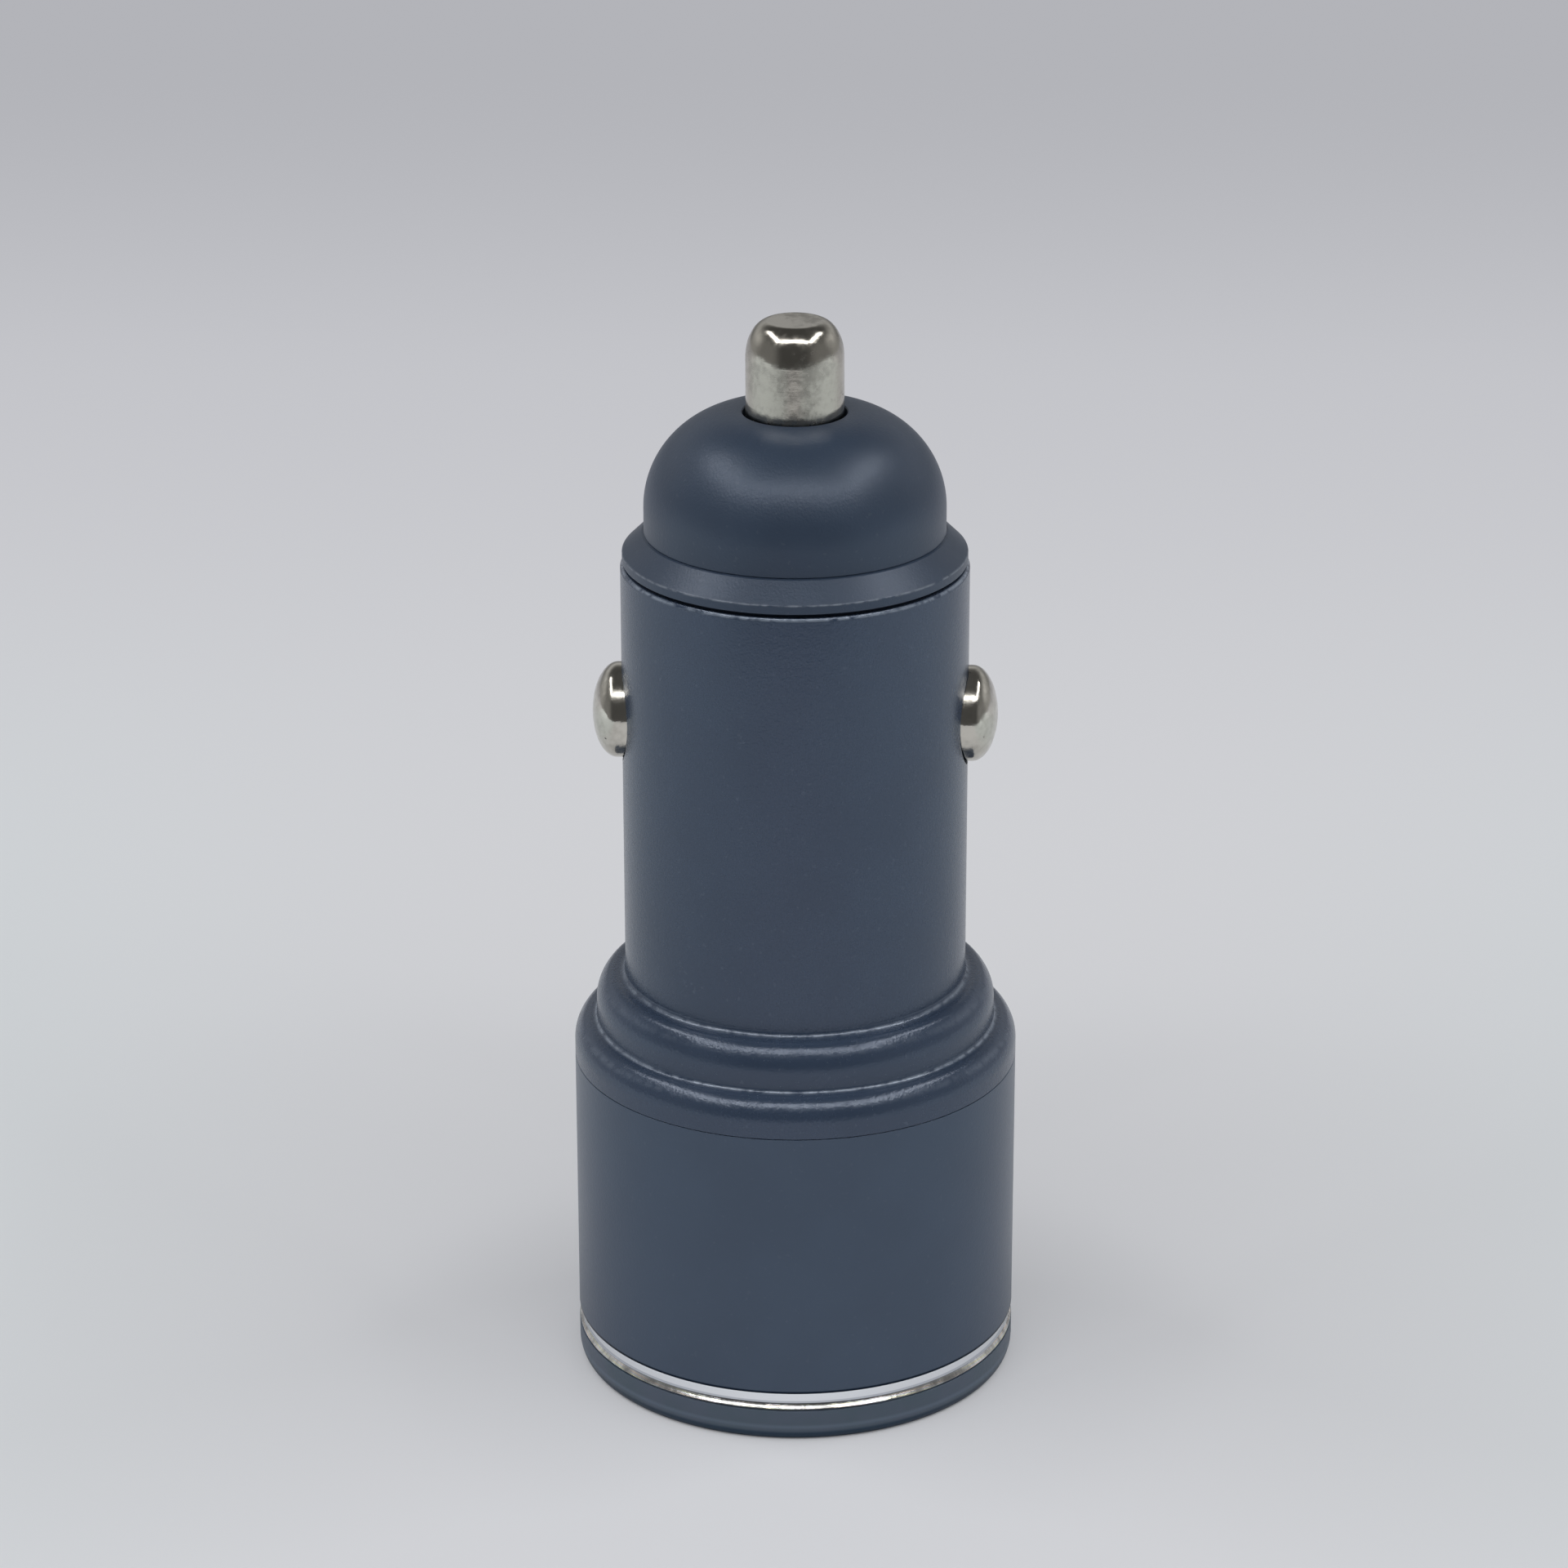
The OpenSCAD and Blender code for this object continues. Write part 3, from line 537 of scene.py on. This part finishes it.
# Box that widens by the flare over the lip at its foot
def box(name, low, high, flare, lip):
    (x0, y0, z0), (x1, y1, z1) = low, high
    vertices = []
    for z, f in ((z0, flare), (z0 + lip, 0.0), (z1, 0.0)):
        vertices += [(x0 - f, y0 - f, z), (x1 + f, y0 - f, z), (x1 + f, y1 + f, z), (x0 - f, y1 + f, z)]
    faces = [(3, 2, 1, 0)]
    for k in (0, 4):
        faces += [(k + i, k + (i + 1) % 4, k + 4 + (i + 1) % 4, k + 4 + i) for i in range(4)]
    faces.append((8, 9, 10, 11))
    mesh = bpy.data.meshes.new(name)
    mesh.from_pydata([Vector(v) * mm for v in vertices], [], faces)
    return addObject(name, mesh)


def rod(name, radius, low, high, height):
    return turned(name, [(0, low), (radius, low), (radius, high), (0, high)], 96, (1, height))


# Puts what the modifiers make in place of a piece's mesh
def applyModifiers(piece):
    bpy.context.view_layer.update()
    sight = bpy.context.evaluated_depsgraph_get()
    made = bpy.data.meshes.new_from_object(piece.evaluated_get(sight))
    piece.modifiers.clear()
    old = piece.data
    piece.data = made
    bpy.data.meshes.remove(old)
    return made


# Cuts the tools out of a piece and smooths what is left, keeping its sharp edges
def cut(piece, tools):
    piece.data.normals_split_custom_set([(0, 0, 0)] * len(piece.data.loops))
    for tool in tools:
        step = piece.modifiers.new("cut", "BOOLEAN")
        step.object, step.operation, step.solver = tool, "DIFFERENCE", "EXACT"
    mesh = applyModifiers(piece)
    for tool in tools:
        bpy.data.objects.remove(tool)
    joined = bmesh.new()  # corners of the cut that fall together become one
    joined.from_mesh(mesh)
    bmesh.ops.remove_doubles(joined, verts=joined.verts, dist=0.002 * mm)
    joined.to_mesh(mesh)
    joined.free()
    mesh.set_sharp_from_angle(angle=sharpFrom)
    even = piece.modifiers.new("even", "WEIGHTED_NORMAL")
    even.keep_sharp, even.weight = True, 90
    mesh = applyModifiers(piece)
    around = [Vector(corner.vector) for corner in mesh.corner_normals]
    for polygon in mesh.polygons:  # level faces stay flat up to their edges
        if abs(polygon.normal.z) > 0.99999:
            for loop in polygon.loop_indices:
                around[loop] = polygon.normal.copy()
    mesh.normals_split_custom_set(around)


def finishPiece(piece, material, body, slotName, *nodes):
    piece.data.materials.clear()
    piece.data.materials.append(material)
    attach(piece, body)
    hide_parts(*nodes)


# Body of the plug: tube, two rounded steps and the spigot inside the sleeve
body = {
    "tubeR": 10.25, "boreR": 9.15, "stepR": 12.0, "headR": 13.35, "spigotR": 12.0, "cavityR": 10.9,
    "foot": 14.0, "seat": 19.86, "lowerTop": 22.204, "upperTop": 25.004, "cavityTop": 23.204, "top": 50.954,
    "lowerRound": 1.3206, "lowerLean": 0.28, "lowerFillet": 0.31,
    "upperRound": 1.418, "upperLean": 0.46, "upperFillet": 0.403, "edge": 0.2, "seatEdge": 0.05,
    "rows": (34.0, 37.0, 46.0), "holeR": 3.05, "holeZ": 41.604, "holeReach": (8.0, 13.0),
}


def makeBody():
    b = body
    outline = soften([
        (b["cavityR"], b["foot"]), (b["spigotR"], b["foot"]), (b["spigotR"], b["seat"]),
        (b["headR"], b["seat"]), (b["headR"], b["seat"] + 0.4),
    ], {3: b["seatEdge"]})
    for out, wall, step in (("headR", "stepR", "lower"), ("stepR", "tubeR", "upper")):
        top, bend, lean, fillet = (b[step + part] for part in ("Top", "Round", "Lean", "Fillet"))
        outline += stepCurve(b[out], top, bend, lean, b[wall], fillet)
    outline += [(b["tubeR"], z) for z in b["rows"]]
    outline += [
        (b["tubeR"], b["top"] - b["edge"]), (b["tubeR"] - b["edge"], b["top"]), (b["boreR"], b["top"]),
        (b["boreR"], b["rows"][2]), (b["boreR"], b["rows"][1]),
        (b["boreR"], b["cavityTop"]), (b["cavityR"], b["cavityTop"]),
    ]
    piece = turned("barrelShell", outline)
    low, high = b["holeReach"]
    tools = [rod("holeTool", b["holeR"], s * low, s * high, b["holeZ"]) for s in (1, -1)]
    cut(piece, tools)
    finishPiece(piece, bodyFinish, "housing", "anodised_body", "barrel_shell")


sleeve = {"in": 12.05, "out": 13.35, "foot": 3.15, "top": 19.83, "footEdge": 0.05, "topEdge": 0.03}


def makeSleeve():
    k = sleeve
    outline = [(k["in"], k["foot"]), (k["out"], k["foot"]), (k["out"], k["top"]), (k["in"], k["top"])]
    outline = soften(outline, {1: k["footEdge"], 2: k["topEdge"]})
    finishPiece(turned("headSleeve", outline), sleeveFinish, "housing", "anodised_sleeve", "head_sleeve")


def makeRing():
    k = ring
    band, turn = body["headR"] - k["inset"], math.radians(k["turn"])
    cutWidth = k["inset"] - k["cove"] * (1 - math.cos(turn))
    coveZ = k["z0"] + cutWidth / math.tan(turn) + k["cove"] * math.sin(turn)
    ahead = (body["headR"] - 0.1, k["z0"] + 0.11)  # only steers the softened corner
    outline = soften([(k["in"], k["z0"]), (body["headR"], k["z0"]), ahead], {1: k["corner"]})[:-1]
    outline += arc(band + k["cove"], coveZ, k["cove"], k["cove"], 180 + k["turn"], 180, 12)
    outline += [(band, k["z1"]), (k["in"], k["z1"])]
    finishPiece(turned("trimRing", outline), ringFinish(), "housing", "bright_ring", "trim_ring")


# Rim that it stands on, and the face with its two windows
face = {
    "rimR": 13.35, "top": 2.1, "line": 0.1, "roundH": 0.9, "roundW": 0.5, "roundTop": 1.4, "rimW": 1.3,
    "slope": 0.225, "inset": 0.45, "in": 2.25, "collarR": 12.0, "collarIn": 11.05, "collarTop": 6.95,
    "insetEdge": 0.1, "footEdge": 0.15, "lineEdge": 0.03,
    "windowW": 6.3, "windowY": (1.2, 6.42), "windowZ": (0.43, 4.0), "flare": 0.25, "lip": 0.27,
}


def makeFace():
    f = face
    foot = f["rimR"] - f["roundW"]
    inner = foot - f["rimW"]
    outline = [(0, f["inset"]), (inner, f["inset"]), (inner + f["slope"], 0), (foot, 0)]
    outline = soften(outline, {1: f["insetEdge"], 2: f["footEdge"]})
    outline += arc(foot, f["roundH"], f["roundW"], f["roundH"], -90, 0, 16)[1:]
    lineR, lineZ = f["rimR"] - f["line"], f["top"] - f["line"]
    outline += soften([
        (f["rimR"], f["roundTop"]), (f["rimR"], lineZ), (lineR, lineZ), (lineR, f["top"]),
        (f["collarR"], f["top"]), (f["collarR"], f["collarTop"]), (f["collarIn"], f["collarTop"]),
        (f["collarIn"], f["in"]), (0, f["in"]),
    ], {1: f["lineEdge"]})
    piece = turned("faceBezel", outline)
    x, (y0, y1), (z0, z1) = f["windowW"], f["windowY"], f["windowZ"]
    spans = ((y0, y1), (-y1, -y0))
    cut(piece, [box("windowTool", (-x, a, z0), (x, b, z1), f["flare"], f["lip"]) for a, b in spans])
    finishPiece(piece, rimFinish(), "housing", "face_dark", "face_bezel")


# Nose: bevelled collar, crease, straight wall and domed shoulder
nose = {
    "skirtIn": 7.6, "skirtR": 9.1, "foot": 46.054, "tubeTop": 50.954, "seatR": 9.65,
    "collarR": 10.14, "collarZ": 51.204, "band": 0.52, "bevel": 1.2, "crease": 0.06,
    "collarEdge": 0.06, "bandEdge": 0.10, "bevelEdge": 0.05,
    "wallR": 8.85, "domeZ": 54.374, "round": 5.8, "holeR": 3.05, "top": 60.174,
    "bushR": 5.98, "bushFoot": 52.924, "bushTop": 58.224,
}


def makeNose():
    n = nose
    bevelFoot = n["collarZ"] + n["band"]
    bevelTop = bevelFoot + n["bevel"]
    c = n["crease"]
    outline = [
        (n["skirtIn"], n["foot"]), (n["skirtR"], n["foot"]), (n["skirtR"], n["tubeTop"]),
        (n["seatR"], n["tubeTop"]), (n["seatR"], n["collarZ"]), (n["collarR"], n["collarZ"]),
        (n["collarR"], bevelFoot), (n["wallR"] + 2 * c, bevelTop - c),
        (n["wallR"] - c, bevelTop), (n["wallR"], bevelTop + c),
    ]
    outline = soften(outline, {5: n["collarEdge"], 6: n["bandEdge"], 7: n["bevelEdge"]})
    outline += arc(n["holeR"], n["domeZ"], n["round"], n["round"], 0, 87, 40)
    outline += [
        (n["holeR"] + 0.06, n["top"] - 0.01), (n["holeR"], n["top"] - 0.08), (n["holeR"], n["bushTop"]),
        (n["bushR"], n["bushTop"]), (n["bushR"], n["bushFoot"]), (n["skirtIn"], n["bushFoot"]),
    ]
    finishPiece(turned("noseCap", outline), noseFinish, "housing", "anodised_nose", "nose_cap")


# Bored foot of a sprung contact, with its flange and the start of its shank
def flange(k):
    foot, seat = k["foot"], k["seat"]
    outline = [(k["boreR"], foot), (k["flangeR"], foot), (k["flangeR"], seat), (k["r"], seat)]
    return soften(outline, {1: k["edge"], 2: k["edge"]})


tip = {
    "r": 2.87, "foot": 55.624, "flangeR": 4.0, "seat": 57.224, "edge": 0.1, "end": 65.604,
    "roundW": 1.34, "roundH": 2.2, "boreR": 2.1, "crown": 2.6,
}


def makeTip():
    t = tip
    outline = flange(t)
    outline += arc(t["r"] - t["roundW"], t["end"] - t["roundH"], t["roundW"], t["roundH"], 0, 90, 36)
    outline += [(0, t["end"]), (0, t["end"] - t["crown"]), (t["boreR"], t["end"] - t["crown"])]
    finishPiece(turned("tipContact", outline, 160), tipFinish, "tip", "contact_nickel", "tip_contact")


contact = {
    "r": 2.85, "foot": 7.604, "flangeR": 3.5, "seat": 8.404, "edge": 0.08, "base": 10.5, "dome": 1.5,
    "boreR": 1.65, "boreTop": 10.3, "z": 41.604,
}


def makeContacts():
    c = contact
    outline = flange(c)
    outline += arc(0, c["base"], c["r"], c["dome"], 0, 90, 40)
    outline += [(0, c["boreTop"]), (c["boreR"], c["boreTop"])]
    for side, name in ((-1, "left"), (1, "right")):
        piece = turned("groundContact" + name.title(), outline, 144, (side, c["z"]))
        finishPiece(piece, contactFinish, "contact_" + name, "contact_nickel", "ground_contact_" + name)


makeBody()
makeSleeve()
makeRing()
makeFace()
makeNose()
makeTip()
makeContacts()
print("turned pieces made")


# Named inputs and the geometry output of a node group; gives each input's identifier
def addInputs(group, kinds):
    ids = {}
    for name, kind in kinds.items():
        item = group.interface.new_socket(name, in_out="INPUT", socket_type="NodeSocket" + kind)
        ids[name] = item.identifier
    group.interface.new_socket("Geometry", in_out="OUTPUT", socket_type="NodeSocketGeometry")
    return ids


# Smooths, realises and dresses what a node group has made
def closeTree(tree, made, material):
    smooth = tree.add("GeometryNodeSetShadeSmooth", None, {"Geometry": made.outputs[0]})
    real = tree.add("GeometryNodeRealizeInstances", None, {"Geometry": smooth.outputs[0]})
    dressed = tree.add("GeometryNodeSetMaterial", None, {"Geometry": real.outputs[0], "Material": material})
    tree.add("NodeGroupOutput", None, {0: dressed.outputs[0]})


# Piece whose mesh a node group makes from the values of its named inputs
def grown(name, group, ids, values):
    piece = addObject(name, bpy.data.meshes.new(name))
    maker = piece.modifiers.new("maker", "NODES")
    maker.node_group = group
    for key, value in values.items():
        maker[ids[key]] = value
    applyModifiers(piece)
    return piece


springs = {
    "tip": {"mean": 1.7, "wire": 0.2, "turns": 8, "start": 52.324, "end": 63.004, "travel": 3.0},
    "ground": {"mean": 1.3, "wire": 0.15, "turns": 6, "start": 1.85, "end": 10.3, "travel": 1.75},
}
coilSteps = 384


# Coil spring as a node tree: a wire swept along a helix, with one closed turn at each end
def springTree():
    group = bpy.data.node_groups.new("coilSpring", "GeometryNodeTree")
    ids = addInputs(group, {
        "Mean Radius": "Float", "Wire Radius": "Float", "Height": "Float", "Turns": "Float",
        "Material": "Material",
    })
    tree = Tree(group)
    given = tree.add("NodeGroupInput")
    mean, wire, height, count = (tree.num(given, i) for i in range(4))
    line = tree.add("GeometryNodeMeshLine", None, {"Count": coilSteps + 1})
    step = tree.num(tree.add("GeometryNodeInputIndex"))
    t = step / float(coilSteps) * count
    closed = wire * 2.1
    low = wire + closed * t
    high = height - wire - closed * (count - t)
    middle = wire + closed + (height - 2 * wire - 2 * closed) * (t - 1) / (count - 2)
    first, last = t < 1.0, t > count - 1
    z = low * first + high * last + middle * (1 - first) * (1 - last)
    angle = t * (2 * math.pi)
    point = tree.add("ShaderNodeCombineXYZ", None, {
        "X": mean * angle.math("COSINE", angle), "Y": mean * angle.math("SINE", angle), "Z": z,
    })
    values = {"Geometry": line.outputs[0], "Position": point.outputs[0]}
    placed = tree.add("GeometryNodeSetPosition", None, values)
    path = tree.add("GeometryNodeMeshToCurve", None, {"Mesh": placed.outputs[0]})
    section = tree.add("GeometryNodeCurvePrimitiveCircle", None, {"Resolution": 12, "Radius": wire})
    swept = tree.add("GeometryNodeCurveToMesh", None, {
        "Curve": path.outputs[0], "Profile Curve": section.outputs[0], "Fill Caps": True,
    })
    closeTree(tree, swept, given.outputs[4])
    return group, ids


springWire = innerMetal("springWire", (0.62, 0.63, 0.65), 0.22, (1, 1, 1))
springGroup, springIds = springTree()


def makeSpring(name, size, turn, node):
    length = size["end"] - size["start"]
    piece = grown(name, springGroup, springIds, {
        "Mean Radius": size["mean"] * mm, "Wire Radius": size["wire"] * mm, "Height": length * mm,
        "Turns": float(size["turns"]), "Material": springWire,
    })
    piece.data.transform(turn)
    finishPiece(piece, springWire, "housing", "spring_steel", node)
    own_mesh(piece)


tipStart = Matrix.Translation((0, 0, springs["tip"]["start"] * mm))
makeSpring("tipSpring", springs["tip"], tipStart, "tip_spring")
for side, name in ((-1, "left"), (1, "right")):
    start = Matrix.Translation((side * springs["ground"]["start"] * mm, 0, contact["z"] * mm))
    turn = start @ Matrix.Rotation(math.radians(90 * side), 4, "Y")
    makeSpring(
        "groundSpring" + name.title(), springs["ground"], turn, "ground_spring_" + name,
    )

winding = {"out": 3.1, "wire": 0.197, "rows": 7}


# Winding as a node tree: one ring of wire repeated along the drum
def makeWinding():
    w = winding
    group = bpy.data.node_groups.new("windingRows", "GeometryNodeTree")
    ids = addInputs(group, {
        "Ring Radius": "Float", "Wire Radius": "Float", "Rows": "Int", "Material": "Material",
    })
    tree = Tree(group)
    radius, wire, rows, finish = tree.add("NodeGroupInput").outputs[:4]
    loop = tree.add("GeometryNodeCurvePrimitiveCircle", None, {"Resolution": 64, "Radius": radius})
    section = tree.add("GeometryNodeCurvePrimitiveCircle", None, {"Resolution": 10, "Radius": wire})
    values = {"Curve": loop.outputs[0], "Profile Curve": section.outputs[0]}
    swept = tree.add("GeometryNodeCurveToMesh", None, values)
    offset = tree.add("ShaderNodeCombineXYZ", None, {"Z": Num(group, wire) * 2})
    line = tree.add("GeometryNodeMeshLine", None, {"Count": rows, "Offset": offset.outputs[0]})
    values = {"Points": line.outputs[0], "Instance": swept.outputs[0]}
    closeTree(tree, tree.add("GeometryNodeInstanceOnPoints", None, values), finish)
    copper = innerMetal("copperWire", (0.72, 0.32, 0.14), 0.25, (1, 8, 1))
    piece = grown("inductorWinding", group, ids, {
        "Ring Radius": (w["out"] - w["wire"]) * mm, "Wire Radius": w["wire"] * mm, "Rows": w["rows"],
        "Material": copper,
    })
    low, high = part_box("inductor_winding")
    middle = (low + high) / 2
    span = (w["rows"] - 1) * 2 * w["wire"] * mm
    place = Matrix.Translation((middle.x, middle.y - span / 2, middle.z))
    piece.data.transform(place @ Matrix.Rotation(math.radians(-90), 4, "X"))
    finishPiece(piece, copper, "housing", "copper_wire", "inductor_winding")


makeWinding()
print("springs and winding made")

# Floor, room and lights. Distances in metres.
stage = {
    "floorNear": (0.85, 0.86, 0.895), "floorEdge": (0.82, 0.90, 0.925), "floorMiddle": (0.67, 0.675, 0.71),
    "floorFar": (0.45, 0.455, 0.485), "glow": 0.18,
    "front": -0.23, "back": 1.2, "side": 0.9, "apron": 4.0, "apronDrop": 0.0004,
    "barRadiance": 7.0, "barWidth": 0.055, "barLength": 0.42, "barHeight": 0.36, "barSide": 0.25,
    "barFront": 0.218, "sideLength": 0.36, "sideShift": -0.03, "aimHeight": 0.04,
    "room": 0.08, "sides": 0.15, "backLow": 0.14, "backWall": 0.26, "backdrop": (0.58, 0.59, 0.62),
}


def plane(name, x0, x1, y0, y1, z):
    mesh = bpy.data.meshes.new(name)
    mesh.from_pydata([(x0, y0, z), (x1, y0, z), (x1, y1, z), (x0, y1, z)], [], [(0, 1, 2, 3)])
    piece = addObject(name, mesh)
    return piece


# Pale floor: mostly lit near the part, so that its shadow shows, and glowing further away. Right
# round the part only the camera sees the glow.
def floorFinish(name):
    material, tree = newMaterial(name)
    x, y = tree.axes()[:2]
    side = x.math("ABSOLUTE", x)
    # Painted light falloff: the colour darkens from near the part towards the back, with a cooler tint at
    # the sides in front
    tint = side.rise(20.0, 90.0) * (1 - y.rise(20.0, 200.0))
    near = tree.mix(tint * 0.7, stage["floorNear"], stage["floorEdge"])
    color = tree.mix(y.rise(60.0, 200.0), near, stage["floorMiddle"])
    color = tree.mix(y.rise(60.0, 340.0), color, stage["floorFar"])
    direct = tree.num(tree.add("ShaderNodeLightPath"), "Is Camera Ray")
    seen = direct + (1 - direct) * ((x * x + y * y) ** 0.5).rise(14.0, 24.0)
    behind = y.rise(20.0, 220.0)
    distance = behind.math("MAXIMUM", behind, side.rise(60.0, 320.0))
    lit = tree.add("ShaderNodeBsdfPrincipled", None, {"Base Color": color, "Roughness": 0.65, "IOR": 1.4})
    glow = tree.add("ShaderNodeEmission", None, {"Color": color})
    share = seen * (stage["glow"] + (1 - stage["glow"]) * distance)
    both = tree.add("ShaderNodeMixShader", None, {"Fac": share, 1: lit.outputs[0], 2: glow.outputs[0]})
    tree.add("ShaderNodeOutputMaterial", None, {"Surface": both.outputs[0]})
    return material


s = stage
floor = plane("floor", -s["side"], s["side"], s["front"], s["back"], 0.0)
floor.data.materials.append(floorFinish("paleFloor"))
apron = plane("apron", -s["apron"], s["apron"], -s["apron"], s["apron"], -s["apronDrop"])
apron.data.materials.append(floorFinish("paleApron"))
apron.visible_diffuse = False
apron.visible_glossy = False
apron.visible_transmission = False
apron.visible_shadow = False


# Strip light with its middle at that place, turned towards the part
def bar(name, place, length, yaw):
    width = stage["barWidth"]
    lamp = bpy.data.lights.new(name, "AREA")
    lamp.shape, lamp.size, lamp.size_y = "RECTANGLE", length, width
    lamp.energy = stage["barRadiance"] * math.pi * length * width
    thing = addObject(name, lamp)
    thing.location = place
    aim = Vector((0, 0, stage["aimHeight"])) - Vector(place)
    up = Vector((math.cos(yaw), math.sin(yaw), 0))
    across = (up - aim * (up @ aim) / aim.length_squared).normalized()
    back = -aim.normalized()
    thing.rotation_mode = "QUATERNION"
    thing.rotation_quaternion = Matrix((across, back.cross(across), back)).transposed().to_quaternion()
    thing.visible_camera = False


bar("barLeft", (-s["barSide"], s["sideShift"], s["barHeight"]), s["sideLength"], math.pi / 2)
bar("barRight", (s["barSide"], s["sideShift"], s["barHeight"]), s["sideLength"], math.pi / 2)
bar("barFront", (0.0, -s["barFront"], s["barHeight"]), s["barLength"], 0.0)

# Room round the light box: dark towards the front and the ceiling, pale at the sides and back
world = bpy.data.worlds.new("room")
bpy.context.scene.world = world
world.use_nodes = True
tree = Tree(world.node_tree)
around = tree.add("ShaderNodeTexCoord").outputs["Generated"]
direction = tree.add("ShaderNodeSeparateXYZ", None, {"Vector": around})
dx, dy, dz = (tree.num(direction, i) for i in range(3))
sideways = dx.math("ABSOLUTE", dx).rise(0.45, 0.85)
behind = dy.rise(-0.1, 0.4)
low = 1 - dz.rise(0.35, 0.75)
wall = low * s["backLow"] + dz.near(0.33, 0.28) * s["backWall"]
level = s["room"] + low * s["sides"] * sideways + behind * wall
seen = tree.num(tree.add("ShaderNodeLightPath"), "Is Camera Ray")
strength = seen + (1 - seen) * level
color = tree.mix(seen, (1.0, 1.0, 1.0), s["backdrop"])
sky = tree.add("ShaderNodeBackground", None, {"Color": color, "Strength": strength})
tree.add("ShaderNodeOutputWorld", None, {"Surface": sky.outputs[0]})

# Camera as in the photo, its lens and sensor in millimetres and its angles in degrees
view = {
    "lens": 119.25, "sensor": 36.0, "place": (0.00941, -0.28783, 0.14981),
    "angles": (68.6, 0.085944, 1.9713),
}
camera = bpy.data.cameras.new("camera")
camera.lens = view["lens"]
camera.sensor_width = view["sensor"]
camera.clip_start, camera.clip_end = 0.01, 20.0
viewer = addObject("camera", camera)
viewer.location = view["place"]
viewer.rotation_euler = [math.radians(a) for a in view["angles"]]
bpy.context.scene.camera = viewer
bpy.context.scene.view_settings.view_transform = "Standard"
print("stage and camera made")
